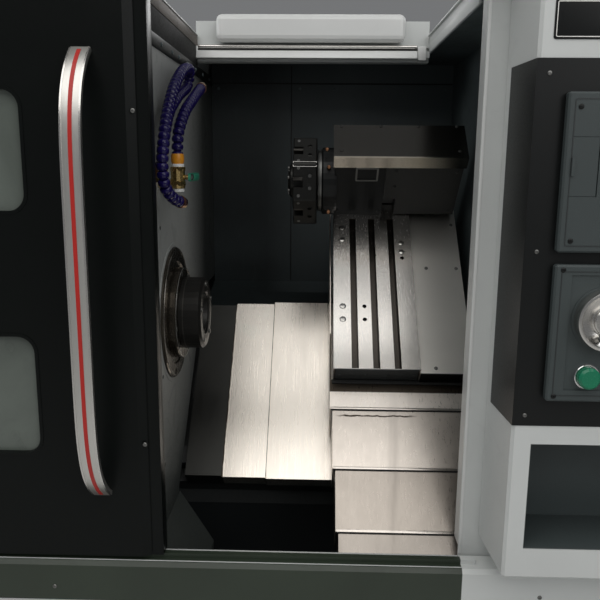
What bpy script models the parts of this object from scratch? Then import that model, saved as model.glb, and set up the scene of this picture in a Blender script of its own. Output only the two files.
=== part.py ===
"""A slant-bed CNC turning lathe with its front door slid open.

Metres, +Z up, +X along the spindle to the right, +Y away from the operator.
The origin is on the floor under the middle of the machine.
Pieces on the slanted bed are drawn in (x, s, n): s runs up the slant and n stands off it.
"""

import math

import bmesh
import bpy
from mathutils import Matrix, Vector

# Fits
FIT = 0.0003  # gap between two pieces that touch
RUN = 0.0005  # gap round a piece that slides, and round a ball screw
SHAFT_FIT = 0.0001  # radial room of a shaft in its bore
REACH = 0.02  # how far a cutter runs past the face it opens

# Whole machine
WIDTH = 1.800
FRONT_Y = -0.545  # plane of the door frame
BASE_FRONT_Y = FRONT_Y - 0.043  # plane of the lower body
REAR_Y = 0.560
FOOT_HEIGHT = 0.070
BASE_HEIGHT = 0.665
SILL_HEIGHT = 0.065
OPENING_HEIGHT = 0.860
HEADER_HEIGHT = 0.065
ROOF_RISE = 0.021  # from the top of the door opening to the roof
SHEET = 0.0025  # enclosure sheet
LINER = 0.002  # inner sheet and way covers
OUTER_X = WIDTH / 2
BASE_TOP = FOOT_HEIGHT + BASE_HEIGHT
SILL_TOP = BASE_TOP + SILL_HEIGHT
OPENING_TOP = SILL_TOP + OPENING_HEIGHT
HEADER_TOP = OPENING_TOP + HEADER_HEIGHT
ROOF_Z = OPENING_TOP + ROOF_RISE

# Door opening and door
OPENING_LEFT = -0.245
OPENING_RIGHT = 0.260
POST_RETURN = 0.032
RETURN_BOTTOM = SILL_TOP + 0.015  # the way covers pass under the return
HEADER_DEPTH = 0.055
DOOR_RIGHT = -0.208
DOOR_WIDTH = 0.600
DOOR_FRONT = FRONT_Y - 0.040
DOOR_THICK = 0.032
DOOR_BOTTOM = SILL_TOP + 0.008
DOOR_TOP = OPENING_TOP + 0.050
DOOR_TRAVEL = 0.490
STRIP_WIDTH = 0.018  # set-back strip down the door's right edge
STRIP_SLOPE = 0.014
STRIP_DEPTH = 0.006
WINDOW_WIDTH = 0.244
WINDOW_INSET = 0.178  # from the door's right edge to the windows
WINDOW_UPPER = (DOOR_TOP - 0.368, DOOR_TOP - 0.192)
WINDOW_LOWER = (DOOR_BOTTOM + 0.166, DOOR_BOTTOM + 0.357)
WINDOW_ROUND = 0.030
GLASS_THICK = 0.006
GLASS_DEPTH = 0.009  # from the door's face to the glass
HANDLE_INSET = 0.0885  # from the door's right edge to the handle's middle
HANDLE_WIDTH = 0.028
HANDLE_THICK = 0.008
HANDLE_BOTTOM = DOOR_BOTTOM + 0.109
HANDLE_TOP = DOOR_TOP - 0.144
HANDLE_BOW = 0.069

# Sill under the door
SILL_FRONT = FRONT_Y - 0.047
SILL_BACK = FRONT_Y - 0.004
SILL_LIP = 0.006
RAIL_WIDTH = 0.010  # the door runs on this rail

# Levelling feet
FOOT_INSET_X = 0.100
FOOT_INSET_Y = 0.090
PAD_RADIUS = 0.050
PAD_HEIGHT = 0.014
STEM_RADIUS = 0.013

# Base, chip well and coolant tank
WELL_LEFT = -0.236
WELL_RIGHT = 0.349
TANK_WIDTH = 0.780
TANK_DEPTH = 0.680
TANK_FLOOR = 0.100
TANK_HEIGHT = 0.250
TANK_WALL = 0.004
TANK_TUNNEL_TOP = TANK_FLOOR + TANK_HEIGHT + 0.045
TANK_PULL = 0.140

# Slanted bed
SLANT = math.radians(45.0)
SLANT_Z = BASE_TOP - 0.735  # height of the slanted frame's origin
BED_FACE = 0.770  # n of the bed's slanted face
BED_LOW = 0.355
WAY_SPAN = 0.290
WAY_LOWER = BED_LOW + 0.045
WAY_UPPER = WAY_LOWER + WAY_SPAN
WAY_MIDDLE = (WAY_LOWER + WAY_UPPER) / 2
BED_HIGH = WAY_UPPER + 0.070
BED_LEFT = -0.620
BED_RIGHT = 0.600
WAY_HEIGHT = 0.030
WAY_WIDTH = 0.035
SCREW_RADIUS = 0.0125
Z_SCREW = (WAY_MIDDLE, BED_FACE + 0.020)  # s and n of the long screw
BEARING_SIZE = (0.060, 0.042)
BEARING_THICK = 0.025
BEARING_LEFT = -0.225
BEARING_RIGHT = 0.560
MOTOR_SQUARE = 0.090
MOTOR_LENGTH = 0.160
X_MOTOR_LENGTH = 0.105

# Spindle
AXIS_S = WAY_MIDDLE + 0.0292
AXIS_N = BED_FACE + 0.2780
HEADSTOCK_LEFT = -0.600
HEADSTOCK_RIGHT = -0.262
HEADSTOCK_ROUND = 0.130
FLANGE_RADIUS = 0.118
FLANGE_FACE = HEADSTOCK_RIGHT + 0.036
COLLAR_RADIUS = 0.082
COLLAR_FACE = FLANGE_FACE + 0.013
NOSE_RADIUS = 0.0645
NOSE_END = COLLAR_FACE + 0.039
SHAFT_RADIUS = 0.0500
BORE_RADIUS = 0.024
TAPER_RADIUS = 0.033
TAPER_DEPTH = 0.030
PULLEY_WIDTH = 0.056
PULLEY_LEFT = HEADSTOCK_LEFT - 0.046 - PULLEY_WIDTH
SHAFT_LEFT = PULLEY_LEFT - 0.018
SPINDLE_PULLEY = 0.095
MOTOR_PULLEY = 0.070
PULLEY_GROOVES = 4
GROOVE_DEPTH = 0.006
BELT_THICK = 0.005
DRIVE_SQUARE = 0.240
DRIVE_LEFT = PULLEY_LEFT + PULLEY_WIDTH + 0.026
DRIVE_LENGTH = 0.370
DRIVE_Y = REAR_Y - 0.160
DRIVE_SHAFT = 0.019
BED_BACK_Y = DRIVE_Y - DRIVE_SQUARE / 2 - 0.030

# Inner walls of the working space
WALL_X = -0.232
RIGHT_WALL_X = 0.345
WALL_FRONT_Y = FRONT_Y + 0.035
BACK_WALL_Y = 0.165
WALL_TOP = ROOF_Z - 0.068
CEILING_Z = ROOF_Z - 0.035
WALL_LIFT = 0.036  # height of a wall's lower edge over the bed's face
RIGHT_WALL_LIFT = 0.066
BACK_FOLD_RISE = 0.038  # from the bed's top edge to the back wall's fold
CHUTE_TOP = BASE_TOP + 0.057
CHUTE_BOTTOM = BASE_TOP - 0.045
CHUTE_RUN = 0.062
CHUTE_BACK_Y = WALL_FRONT_Y + 0.180
ROOF_FLANGE_LEFT = WALL_X - 0.008
ROOF_FLANGE_DROP = ROOF_Z - WALL_TOP + 0.007

# Rear beam with its cover box
BEAM_FRONT_Y = 0.005
BEAM_BACK_Y = 0.030
BEAM_TOP = ROOF_Z + 0.031
BEAM_BOTTOM = ROOF_Z - 0.053
BEAM_LEDGE = 0.050  # from the beam's top down to its first rail
COVER_BOX = ((-0.193, 0.206), (ROOF_Z - 0.015, ROOF_Z + 0.041))
COVER_BOX_DEPTH = 0.032
COVER_BOX_ROUND = 0.012

# Saddle and its ways
SADDLE_LEFT = 0.0725
SADDLE_WIDTH = 0.215
SADDLE_TOP = BED_FACE + 0.130
SADDLE_LOW = BED_LOW - 0.165
SADDLE_HIGH = BED_HIGH + 0.198
SADDLE_SHOE = BED_FACE + 0.008
SADDLE_BELLY = BED_FACE + 0.036
Z_TRAVEL = 0.160
CROSS_WAY_HEIGHT = 0.015
CROSS_WAY_WIDTH = 0.030
CROSS_WAY_SPAN = 0.150
CHANNEL_WIDTH = 0.040
CHANNEL_DEPTH = 0.026
X_SCREW_N = SADDLE_TOP - 0.009
NUT_LENGTH = 0.060

# Cross slide with T-slots
X_TRAVEL = 0.165
SLIDE_BACK = SADDLE_HIGH - 0.002
SLIDE_LENGTH = 0.458
SLIDE_FRONT = SLIDE_BACK - SLIDE_LENGTH
SLIDE_BOTTOM = SADDLE_TOP + 0.0383
TABLE_TOP = SLIDE_BOTTOM + 0.0446
TABLE_LEFT = SADDLE_LEFT - 0.0125
TABLE_WIDTH = 0.160
SLIDE_RIGHT = SADDLE_LEFT + SADDLE_WIDTH + 0.0305
SIDE_STEP = SLIDE_BOTTOM + 0.0317
T_SLOT_FIRST = 0.040  # from the table's left edge
T_SLOT_PITCH = 0.0393
T_SLOT_WIDTH = 0.013
T_SLOT_HEAD = 0.022
T_SLOT_NECK = 0.011
T_SLOT_DEPTH = 0.020
T_SLOT_STOP = 0.0125  # from the slots' end to the turret housing
TAPPED_HOLES = (  # from the table's left and front edges
    (0.018, 0.3325),
    (0.018, 0.3015),
    (0.018, 0.1370),
    (0.018, 0.1070),
    (0.060, 0.1370),
    (0.060, 0.1070),
    (0.139, 0.2940),
    (0.139, 0.2710),
    (0.139, 0.2555),
    (0.083, 0.2623),
)
TAPPED_RADIUS = 0.0042
TAPPED_DEPTH = 0.012

# Way covers
NEST = 0.0026  # drop from one telescoping plate to the next
STEP_IN = 0.003  # how much each next cover is narrower along the slant
COVER_TOP = BED_FACE + 0.0517  # n of the outermost bed cover
COVER_LOW = BED_LOW - 0.010
COVER_HIGH = BED_HIGH - 0.012
COVER_SKIRT = 0.036
COVER_LAP = 0.012
COVER_ROOM = 0.012  # between a wall and the bed covers that pass it
RIM_WIDTH = 0.004
RIM_HEIGHT = 0.0012
OUTER_COVER_LEFT = SADDLE_LEFT - 0.1385
INNER_COVER_LEFT = OUTER_COVER_LEFT - 0.085
FIXED_COVER = (INNER_COVER_LEFT - 0.071, INNER_COVER_LEFT)
RIGHT_COVER_END = 0.530
X_COVER_TOP = SLIDE_BOTTOM
X_COVER_LEFT = TABLE_LEFT - 0.006
X_COVER_RIGHT = SLIDE_RIGHT - 0.012
X_COVER_SIDE = 0.005  # how much each next cover is narrower on each side
X_COVER_SKIRT = 0.103
X_COVER_EDGES = (  # front edges of the four plates
    SLIDE_FRONT - 0.0596,
    SLIDE_FRONT - 0.1727,
    SLIDE_FRONT - 0.2809,
    SLIDE_FRONT - 0.3200,
)

# Turret
TURRET_S = SLIDE_BACK - 0.054
TURRET_N = AXIS_N
TURRET_THICK = 0.0475
TURRET_FLAT = 0.086  # from the axis to a station's flat
STATIONS = 8
STATION_SLOT = 0.0205
STATION_SLOT_DEPTH = 0.020
STATION_SLOT_INNER = 0.046
STATION_SCREW = 0.0045
STATION_SCREW_PITCH = 0.024
TURRET_BOSS = 0.034
TURRET_BOSS_OUT = 0.009
RING_RADIUS = 0.061
HUB_RADIUS = 0.068
RING_WIDTH = 0.009
HOUSING_LEFT = TABLE_LEFT
HOUSING_WIDTH = 0.100
HOUSING_FRONT = SLIDE_BACK - 0.0875
HOUSING_TOP = TURRET_N + 0.1015
TURRET_LEFT = HOUSING_LEFT - 0.083
HOOD_LIP = 0.028
HOOD_LEFT = HOUSING_LEFT - 0.003
HOOD_RIGHT = SLIDE_RIGHT - 0.002
MOTOR_COVER_RIGHT = SLIDE_RIGHT - 0.007
MOTOR_COVER_BOTTOM = TABLE_TOP + 0.0031
NOTCH = (0.026, 0.046)

# Control pod
POD_LEFT_BACK = 0.290
POD_LEFT_FRONT = 0.298
POD_FRONT = FRONT_Y - 0.120
POD_BOTTOM = SILL_TOP + 0.035
NICHE_X = (0.325, 0.815)
NICHE_Z = (POD_BOTTOM + 0.047, POD_BOTTOM + 0.205)
NICHE_DEPTH = 0.100
INSET_Z = (POD_BOTTOM + 0.232, POD_BOTTOM + 0.712)
INSET_RIGHT = OUTER_X - 0.028
INSET_SIDE_Y = FRONT_Y - 0.025
INSET_THICK = 0.004
INSET_PROUD = 0.001
UNIT_LEFT = POD_LEFT_FRONT + 0.037
UNIT_X = (UNIT_LEFT, UNIT_LEFT + 0.400)
PANEL_Z = (INSET_Z[0] + 0.040, INSET_Z[0] + 0.224)
DISPLAY_Z = (PANEL_Z[1] + 0.016, PANEL_Z[1] + 0.215)
UNIT_PROUD = 0.014
SCREEN_X = (UNIT_LEFT + 0.067, UNIT_LEFT + 0.277)
SCREEN_Z = (DISPLAY_Z[0] + 0.021, DISPLAY_Z[1] - 0.020)
SCREEN_DEPTH = 0.003
KEY_FIELD_X = (UNIT_LEFT + 0.022, UNIT_LEFT + 0.390)
KEY_FIELD_Z = (PANEL_Z[0] + 0.016, PANEL_Z[1] - 0.013)
KEY_FIELD_DEPTH = 0.002
FLAP_X = (UNIT_LEFT + 0.0085, UNIT_LEFT + 0.0435)
FLAP_Z = (DISPLAY_Z[0] + 0.071, DISPLAY_Z[0] + 0.145)
FLAP_THICK = 0.004
FLAP_PIN = 0.002
WHEEL_AT = (UNIT_LEFT + 0.0680, PANEL_Z[0] + 0.1135)
WHEEL_RADIUS = 0.040
START_AT = (UNIT_LEFT + 0.0515, PANEL_Z[0] + 0.0355)
STOP_AT = (UNIT_LEFT + 0.3500, PANEL_Z[0] + 0.0410)
BUTTON_HOLE = 0.0112
HOLE_SIDES = 20
STEM_DEPTH = 0.010
CONTROL_FRONT = POD_FRONT - 0.047  # foremost point of the wheel's crank and the stop button

# Coolant
VALVE_AT = (WALL_X + 0.032, WALL_FRONT_Y + 0.079)
VALVE_BOTTOM = WALL_TOP - 0.239
VALVE_HEIGHT = 0.038
VALVE_TOP = VALVE_BOTTOM + VALVE_HEIGHT
VALVE_RADIUS = 0.0115
LEVER_Z = VALVE_BOTTOM + 0.018
LEVER_LENGTH = 0.074
HOSE_RADIUS = 0.0100
HOSE_NECK = 0.0076
BEAD_PITCH = 0.0150
HOSE_SIDES = 9
HOSE_A = (  # from the middle of the valve's top
    (0.0000, 0.0000, 0.0003),
    (0.0000, 0.0000, 0.0150),
    (0.0020, 0.0020, 0.0500),
    (0.0060, 0.0410, 0.0850),
    (0.0090, 0.0910, 0.1070),
    (0.0100, 0.1460, 0.1260),
    (0.0100, 0.1960, 0.1400),
)
HOSE_B_AT = (WALL_X + 0.014, WALL_FRONT_Y + 0.032, VALVE_BOTTOM + 0.022)
HOSE_B = (  # from the lower end of the hose's first strand
    (0.0000, 0.0000, 0.0000),
    (0.0040, 0.0000, 0.0340),
    (0.0060, 0.0160, 0.0690),
    (0.0060, 0.0530, 0.1010),
    (0.0070, 0.1080, 0.1250),
    (0.0050, 0.1630, 0.1390),
    (0.0060, 0.2020, 0.1500),
    (0.0090, 0.2160, 0.1660),
    (0.0130, 0.2000, 0.1810),
    (0.0130, 0.1580, 0.1780),
    (0.0130, 0.0980, 0.1580),
    (0.0130, 0.0410, 0.1260),
    (0.0130, -0.0090, 0.0810),
    (0.0130, -0.0340, 0.0420),
    (0.0130, -0.0430, 0.0120),
    (0.0150, -0.0360, -0.0170),
    (0.0220, -0.0070, -0.0360),
    (0.0300, 0.0280, -0.0440),
)

# Electrical cabinet
CABINET_X = (OUTER_X - 0.750, OUTER_X - 0.050)
CABINET_Z = (BASE_TOP + 0.045, ROOF_Z - 0.081)
CABINET_BACK = REAR_Y + 0.1397
CABINET_WALL = 0.004
CABINET_DOOR = 0.012
LATCH_RADIUS = 0.012

# Colours of the materials: colour, roughness, metallic
WHITE_PAINT = ((0.62, 0.64, 0.62), 0.45, 0.0)
BLACK_PAINT = ((0.012, 0.013, 0.013), 0.40, 0.0)
OLIVE_PAINT = ((0.045, 0.058, 0.043), 0.45, 0.0)
CAST_PAINT = ((0.20, 0.22, 0.22), 0.60, 0.0)
GROUND_STEEL = ((0.52, 0.50, 0.47), 0.32, 1.0)
COVER_STEEL = ((0.64, 0.60, 0.56), 0.30, 1.0)
DARK_STEEL = ((0.06, 0.06, 0.06), 0.35, 0.9)
ALUMINIUM = ((0.62, 0.62, 0.62), 0.35, 1.0)
CHROME = ((0.80, 0.80, 0.80), 0.10, 1.0)
BRASS = ((0.58, 0.44, 0.20), 0.30, 1.0)
HOSE_BLUE = ((0.040, 0.025, 0.200), 0.35, 0.0)
LEVER_GREEN = ((0.03, 0.24, 0.15), 0.45, 0.0)
BUTTON_GREEN = ((0.010, 0.200, 0.100), 0.35, 0.0)
STOP_RED = ((0.55, 0.015, 0.010), 0.35, 0.0)
UNIT_GREY = ((0.055, 0.068, 0.068), 0.55, 0.0)
RUBBER = ((0.015, 0.015, 0.015), 0.80, 0.0)
GLASS = ((0.13, 0.15, 0.13), 0.12, 0.0)


def clear_scene():
    for obj in list(bpy.data.objects):
        bpy.data.objects.remove(obj, do_unlink=True)


def material(name, look):
    colour, roughness, metallic = look
    made = bpy.data.materials.new(name)
    made.use_nodes = True
    made.diffuse_color = (*colour, 1.0)
    shader = made.node_tree.nodes["Principled BSDF"]
    shader.inputs["Base Color"].default_value = (*colour, 1.0)
    shader.inputs["Roughness"].default_value = roughness
    shader.inputs["Metallic"].default_value = metallic
    return made


def pivot(name, at=(0.0, 0.0, 0.0), base=None, parent=None):
    """An empty on a joint's axis. `at` is in the world's frame, or in the slanted one if base is it."""
    empty = bpy.data.objects.new(name, None)
    empty.empty_display_size = 0.05
    empty["at"] = at
    bpy.context.collection.objects.link(empty)
    empty.parent = parent or base
    carried = Vector(parent["at"]) if parent else Vector()
    empty.location = Vector(at) - carried
    return empty


def add(name, shape, look=None, parent=None):
    """Turns a bmesh, drawn in its frame's own coordinates, into an object whose origin is its pivot."""
    if parent is not None:
        bmesh.ops.translate(shape, vec=-Vector(parent["at"]), verts=shape.verts)
    mesh = bpy.data.meshes.new(name)
    shape.to_mesh(mesh)
    shape.free()
    obj = bpy.data.objects.new(name, mesh)
    bpy.context.collection.objects.link(obj)
    obj.parent = parent
    if look is not None:
        mesh.materials.append(material(name, look))
        mesh.shade_smooth()
        mesh.set_sharp_from_angle(angle=math.radians(35.0))
    return obj


def combine(obj, shape, operation):
    """Adds a shape to an object, or cuts it away, with a helper that isn't rendered."""
    helper = add(f"{obj.name}_{operation.lower()}_{len(obj.modifiers)}", shape, parent=obj.parent)
    helper.hide_render = True
    helper.display_type = "WIRE"
    boolean = obj.modifiers.new(helper.name, "BOOLEAN")
    boolean.operation = operation
    boolean.solver = "EXACT"
    boolean.object = helper


def fuse(obj, *shapes):
    for shape in shapes:
        combine(obj, shape, "UNION")


def cut(obj, *shapes):
    for shape in shapes:
        combine(obj, shape, "DIFFERENCE")


def soften(obj, width, segments=1):
    """Rounds the sharp edges of a piece before anything is cut from it."""
    bevel = obj.modifiers.new("edges", "BEVEL")
    bevel.width = width
    bevel.segments = segments
    bevel.limit_method = "ANGLE"
    bevel.angle_limit = math.radians(40.0)


def block(x, y, z):
    """A box between pairs of coordinates."""
    shape = bmesh.new()
    low = Vector((min(x), min(y), min(z)))
    high = Vector((max(x), max(y), max(z)))
    place = Matrix.LocRotScale((low + high) / 2, None, high - low)
    bmesh.ops.create_cube(shape, size=1.0, matrix=place)
    return shape


def prism(outline, along, start, end):
    """An outline extruded along an axis. Across X it is drawn in (y, z), across Y in (x, z), across Z in (x, y)."""
    order = {"X": (2, 0, 1), "Y": (0, 2, 1), "Z": (0, 1, 2)}[along]
    shape = bmesh.new()
    corners = []
    for first, second in outline:
        values = (first, second, start)
        corners.append(shape.verts.new([values[i] for i in order]))
    face = shape.faces.new(corners)
    step = Vector([(0.0, 0.0, end - start)[i] for i in order])
    grown = bmesh.ops.extrude_face_region(shape, geom=[face])
    moved = [part for part in grown["geom"] if isinstance(part, bmesh.types.BMVert)]
    bmesh.ops.translate(shape, vec=step, verts=moved)
    bmesh.ops.recalc_face_normals(shape, faces=shape.faces)
    return shape


def strip(path, thickness):
    """The outline of a folded sheet. The path is one face, and the sheet lies on its left side."""
    points = [Vector(point) for point in path]
    sides = [(b - a).normalized() for a, b in zip(points, points[1:])]
    normals = [Vector((-side.y, side.x)) for side in sides]
    inner = [points[0] + normals[0] * thickness]
    for i in range(1, len(points) - 1):
        both = normals[i - 1] + normals[i]
        inner.append(points[i] + both * thickness / (1.0 + normals[i - 1].dot(normals[i])))
    inner.append(points[-1] + normals[-1] * thickness)
    return [tuple(point) for point in points + inner[::-1]]


def turned(profile, axis, centre, steps=32, closed=False):
    """A profile of (place along the axis, radius) turned about a line along X, Y or Z through centre."""
    along = "XYZ".index(axis)
    across = [i for i in range(3) if i != along]
    shape = bmesh.new()
    rings = []
    for place, radius in profile:
        ring = []
        for k in range(steps if radius > 0.0 else 1):
            point = list(centre)
            point[along] = place
            point[across[0]] += radius * math.cos(math.tau * k / steps)
            point[across[1]] += radius * math.sin(math.tau * k / steps)
            ring.append(shape.verts.new(point))
        rings.append(ring)
    pairs = list(zip(rings, rings[1:])) + ([(rings[-1], rings[0])] if closed else [])
    for a, b in pairs:
        for k in range(steps):
            after = (k + 1) % steps
            corners = (a[k % len(a)], a[after % len(a)], b[after % len(b)], b[k % len(b)])
            shape.faces.new(list(dict.fromkeys(corners)))
    bmesh.ops.recalc_face_normals(shape, faces=shape.faces)
    return shape


def rod(axis, centre, start, end, radius, steps=24):
    """A plain cylinder."""
    return turned([(start, 0.0), (start, radius), (end, radius), (end, 0.0)], axis, centre, steps)


def rounded(x, z, radius, steps=4):
    """The outline of a rectangle with round corners."""
    outline = []
    corners = ((x[1], z[1], 0), (x[0], z[1], 1), (x[0], z[0], 2), (x[1], z[0], 3))
    for cx, cz, quarter in corners:
        mx = cx - radius if cx == x[1] else cx + radius
        mz = cz - radius if cz == z[1] else cz + radius
        for i in range(steps + 1):
            angle = math.pi / 2 * (quarter + i / steps)
            outline.append((mx + radius * math.cos(angle), mz + radius * math.sin(angle)))
    return outline


def merged(*shapes):
    """Several shapes that don't touch, as one cutter."""
    whole = bmesh.new()
    for shape in shapes:
        mesh = bpy.data.meshes.new("part")
        shape.to_mesh(mesh)
        shape.free()
        whole.from_mesh(mesh)
        bpy.data.meshes.remove(mesh)
    return whole


def on_slant(s, n):
    """World Y and Z of a point given along and off the slant."""
    return (
        s * math.cos(SLANT) - n * math.sin(SLANT),
        s * math.sin(SLANT) + n * math.cos(SLANT) + SLANT_Z,
    )


def well_back():
    """Y of the chip well's rear wall, where the bed's foot starts."""
    return on_slant(BED_LOW, BED_FACE)[0] + 0.0315


def bore_radius(radius, steps):
    """Corner radius of a bore of that many sides whose flats clear a shaft of this radius."""
    return (radius + SHAFT_FIT) / math.cos(math.pi / steps)


def smooth_path(points, step):
    """Points about `step` apart on a smooth curve through the given ones."""
    ends = [2 * Vector(points[0]) - Vector(points[1])]
    knots = ends + [Vector(point) for point in points]
    knots.append(2 * knots[-1] - knots[-2])
    fine = []
    for a, b, c, d in zip(knots, knots[1:], knots[2:], knots[3:]):
        for i in range(12):
            t = i / 12
            fine.append(
                0.5 * (2 * b + (c - a) * t + (2 * a - 5 * b + 4 * c - d) * t**2 + (3 * b - a - 3 * c + d) * t**3)
            )
    fine.append(knots[-2])
    length = sum((b - a).length for a, b in zip(fine, fine[1:]))
    count = round(length / step)
    spaced = [fine[0]]
    walked = 0.0
    for a, b in zip(fine, fine[1:]):
        span = (b - a).length
        while len(spaced) < count and walked + span >= len(spaced) * length / count:
            part = (len(spaced) * length / count - walked) / span
            spaced.append(a.lerp(b, part))
        walked += span
    return spaced + [fine[-1]]


def ringed_tube(path, radii, sides):
    """A closed tube of changing radius along a path."""
    shape = bmesh.new()
    rings = []
    across = (path[1] - path[0]).cross(Vector((0.0, 0.0, 1.0))).cross(path[1] - path[0])
    if across.length < 1e-6:
        across = Vector((1.0, 0.0, 0.0))
    for i, (point, radius) in enumerate(zip(path, radii)):
        ahead = (path[min(i + 1, len(path) - 1)] - path[max(i - 1, 0)]).normalized()
        across = (across - ahead * across.dot(ahead)).normalized()
        other = ahead.cross(across)
        ring = []
        for k in range(sides):
            turn = math.tau * k / sides
            ring.append(shape.verts.new(point + radius * (across * math.cos(turn) + other * math.sin(turn))))
        rings.append(ring)
    for first, second in zip(rings, rings[1:]):
        for k in range(sides):
            shape.faces.new((first[k], first[(k + 1) % sides], second[(k + 1) % sides], second[k]))
    shape.faces.new(rings[0][::-1])
    shape.faces.new(rings[-1])
    bmesh.ops.recalc_face_normals(shape, faces=shape.faces)
    return shape


def belt_loop(first, r1, second, r2, steps=14):
    """Points of a loop drawn tight round two circles, given as (y, z)."""
    a = Vector(first)
    b = Vector(second)
    heading = math.atan2(b.y - a.y, b.x - a.x)
    lean = math.acos((r1 - r2) / (b - a).length)
    loop = []
    for centre, radius, start, end in (
        (a, r1, heading + lean, heading + math.tau - lean),
        (b, r2, heading - lean, heading + lean),
    ):
        clear = radius / math.cos((end - start) / steps / 2)
        for i in range(steps + 1):
            turn = start + (end - start) * i / steps
            loop.append((centre.x + clear * math.cos(turn), centre.y + clear * math.sin(turn)))
    return loop


def band(outer, inner, start, end):
    """A closed band along X between two loops of as many points."""
    shape = bmesh.new()
    rows = []
    for loop, x in ((outer, start), (outer, end), (inner, end), (inner, start)):
        rows.append([shape.verts.new((x, y, z)) for y, z in loop])
    count = len(outer)
    for row, after in zip(rows, rows[1:] + rows[:1]):
        for i in range(count):
            k = (i + 1) % count
            shape.faces.new((row[i], row[k], after[k], after[i]))
    bmesh.ops.recalc_face_normals(shape, faces=shape.faces)
    return shape


def make_base():
    base = add(
        "base_frame",
        block((-OUTER_X, OUTER_X), (BASE_FRONT_Y, REAR_Y), (FOOT_HEIGHT, BASE_TOP)),
        WHITE_PAINT,
    )
    half = TANK_WIDTH / 2 + RUN
    back = BASE_FRONT_Y + TANK_DEPTH + RUN
    cut(
        base,
        block((-half, half), (BASE_FRONT_Y - REACH, back), (TANK_FLOOR, TANK_TUNNEL_TOP)),
        block((WELL_LEFT, WELL_RIGHT), (SILL_BACK, well_back()), (TANK_TUNNEL_TOP - REACH, BASE_TOP + REACH)),
    )
    return base


def make_feet():
    count = 0
    for x in (-OUTER_X + FOOT_INSET_X, OUTER_X - FOOT_INSET_X):
        for y in (BASE_FRONT_Y + FOOT_INSET_Y, REAR_Y - FOOT_INSET_Y):
            count += 1
            profile = [
                (0.0, 0.0),
                (0.0, PAD_RADIUS),
                (PAD_HEIGHT * 0.7, PAD_RADIUS),
                (PAD_HEIGHT, PAD_RADIUS * 0.7),
                (PAD_HEIGHT, STEM_RADIUS),
                (PAD_HEIGHT * 2, STEM_RADIUS),
                (PAD_HEIGHT * 2, STEM_RADIUS * 1.8),
                (PAD_HEIGHT * 3, STEM_RADIUS * 1.8),
                (PAD_HEIGHT * 3, STEM_RADIUS),
                (FOOT_HEIGHT - FIT, STEM_RADIUS),
                (FOOT_HEIGHT - FIT, 0.0),
            ]
            add(f"levelling_foot_{count}", turned(profile, "Z", (x, y, 0.0), 16), DARK_STEEL)


def make_sill():
    outline = [
        (SILL_FRONT, BASE_TOP + FIT),
        (SILL_FRONT, SILL_TOP - SILL_LIP),
        (SILL_FRONT + SILL_LIP, SILL_TOP),
        (SILL_BACK, SILL_TOP),
        (SILL_BACK, BASE_TOP + FIT),
    ]
    sill = add("sill_guide", prism(outline, "X", -OUTER_X, OUTER_X), OLIVE_PAINT)
    middle = DOOR_FRONT + DOOR_THICK / 2
    right = DOOR_RIGHT + DOOR_TRAVEL
    rail = block(
        (DOOR_RIGHT - DOOR_WIDTH, right),
        (middle - RAIL_WIDTH / 2, middle + RAIL_WIDTH / 2),
        (SILL_TOP - 0.004, DOOR_BOTTOM - RUN),
    )
    fuse(sill, rail)


def make_tank():
    half = TANK_WIDTH / 2
    back = BASE_FRONT_Y + TANK_DEPTH
    floor = TANK_FLOOR + FIT
    top = floor + TANK_HEIGHT
    slide = pivot("tank_slide", (0.0, BASE_FRONT_Y, floor))
    tank = add("coolant_tank", block((-half, half), (BASE_FRONT_Y, back), (floor, top)), OLIVE_PAINT, slide)
    wall = TANK_WALL
    hollow = block(
        (wall - half, half - wall), (BASE_FRONT_Y + wall, back - wall), (floor + wall, top + REACH)
    )
    cut(tank, hollow)
    grip = floor + TANK_HEIGHT * 0.7
    bail = strip(
        [
            (-TANK_PULL / 2, BASE_FRONT_Y + wall / 2),
            (-TANK_PULL / 2, BASE_FRONT_Y - 0.030),
            (TANK_PULL / 2, BASE_FRONT_Y - 0.030),
            (TANK_PULL / 2, BASE_FRONT_Y + wall / 2),
        ],
        0.008,
    )
    fuse(tank, prism(bail, "Z", grip, grip + 0.012))


def make_bed(slant):
    low = on_slant(BED_LOW, BED_FACE)
    high = on_slant(BED_HIGH, BED_FACE)
    foot = well_back() + FIT
    shoulder = high[0] + 0.067
    outline = [
        (foot, BASE_TOP + FIT),
        (foot, low[1] + low[0] - foot),
        low,
        high,
        (shoulder, high[1]),
        (BED_BACK_Y, high[1] - (BED_BACK_Y - shoulder)),
        (BED_BACK_Y, BASE_TOP + FIT),
    ]
    bed = add("bed_casting", prism(outline, "X", BED_LEFT, BED_RIGHT), CAST_PAINT)
    sunk = 0.004
    for middle in (WAY_LOWER, WAY_UPPER):
        corners = [
            on_slant(middle - WAY_WIDTH / 2, BED_FACE - sunk),
            on_slant(middle + WAY_WIDTH / 2, BED_FACE - sunk),
            on_slant(middle + WAY_WIDTH / 2, BED_FACE + WAY_HEIGHT),
            on_slant(middle - WAY_WIDTH / 2, BED_FACE + WAY_HEIGHT),
        ]
        fuse(bed, prism(corners, "X", BED_LEFT + sunk, BED_RIGHT - sunk))
    s, n = Z_SCREW
    for left in (BEARING_LEFT, BEARING_RIGHT):
        corners = [
            on_slant(s - BEARING_SIZE[0] / 2, BED_FACE - sunk),
            on_slant(s + BEARING_SIZE[0] / 2, BED_FACE - sunk),
            on_slant(s + BEARING_SIZE[0] / 2, BED_FACE + BEARING_SIZE[1]),
            on_slant(s - BEARING_SIZE[0] / 2, BED_FACE + BEARING_SIZE[1]),
        ]
        fuse(bed, prism(corners, "X", left, left + BEARING_THICK))
    middle = (0.0, *on_slant(s, n))
    cut(bed, rod("X", middle, BEARING_LEFT - REACH, BED_RIGHT - 0.010, SCREW_RADIUS + RUN, 20))
    return slant


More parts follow.
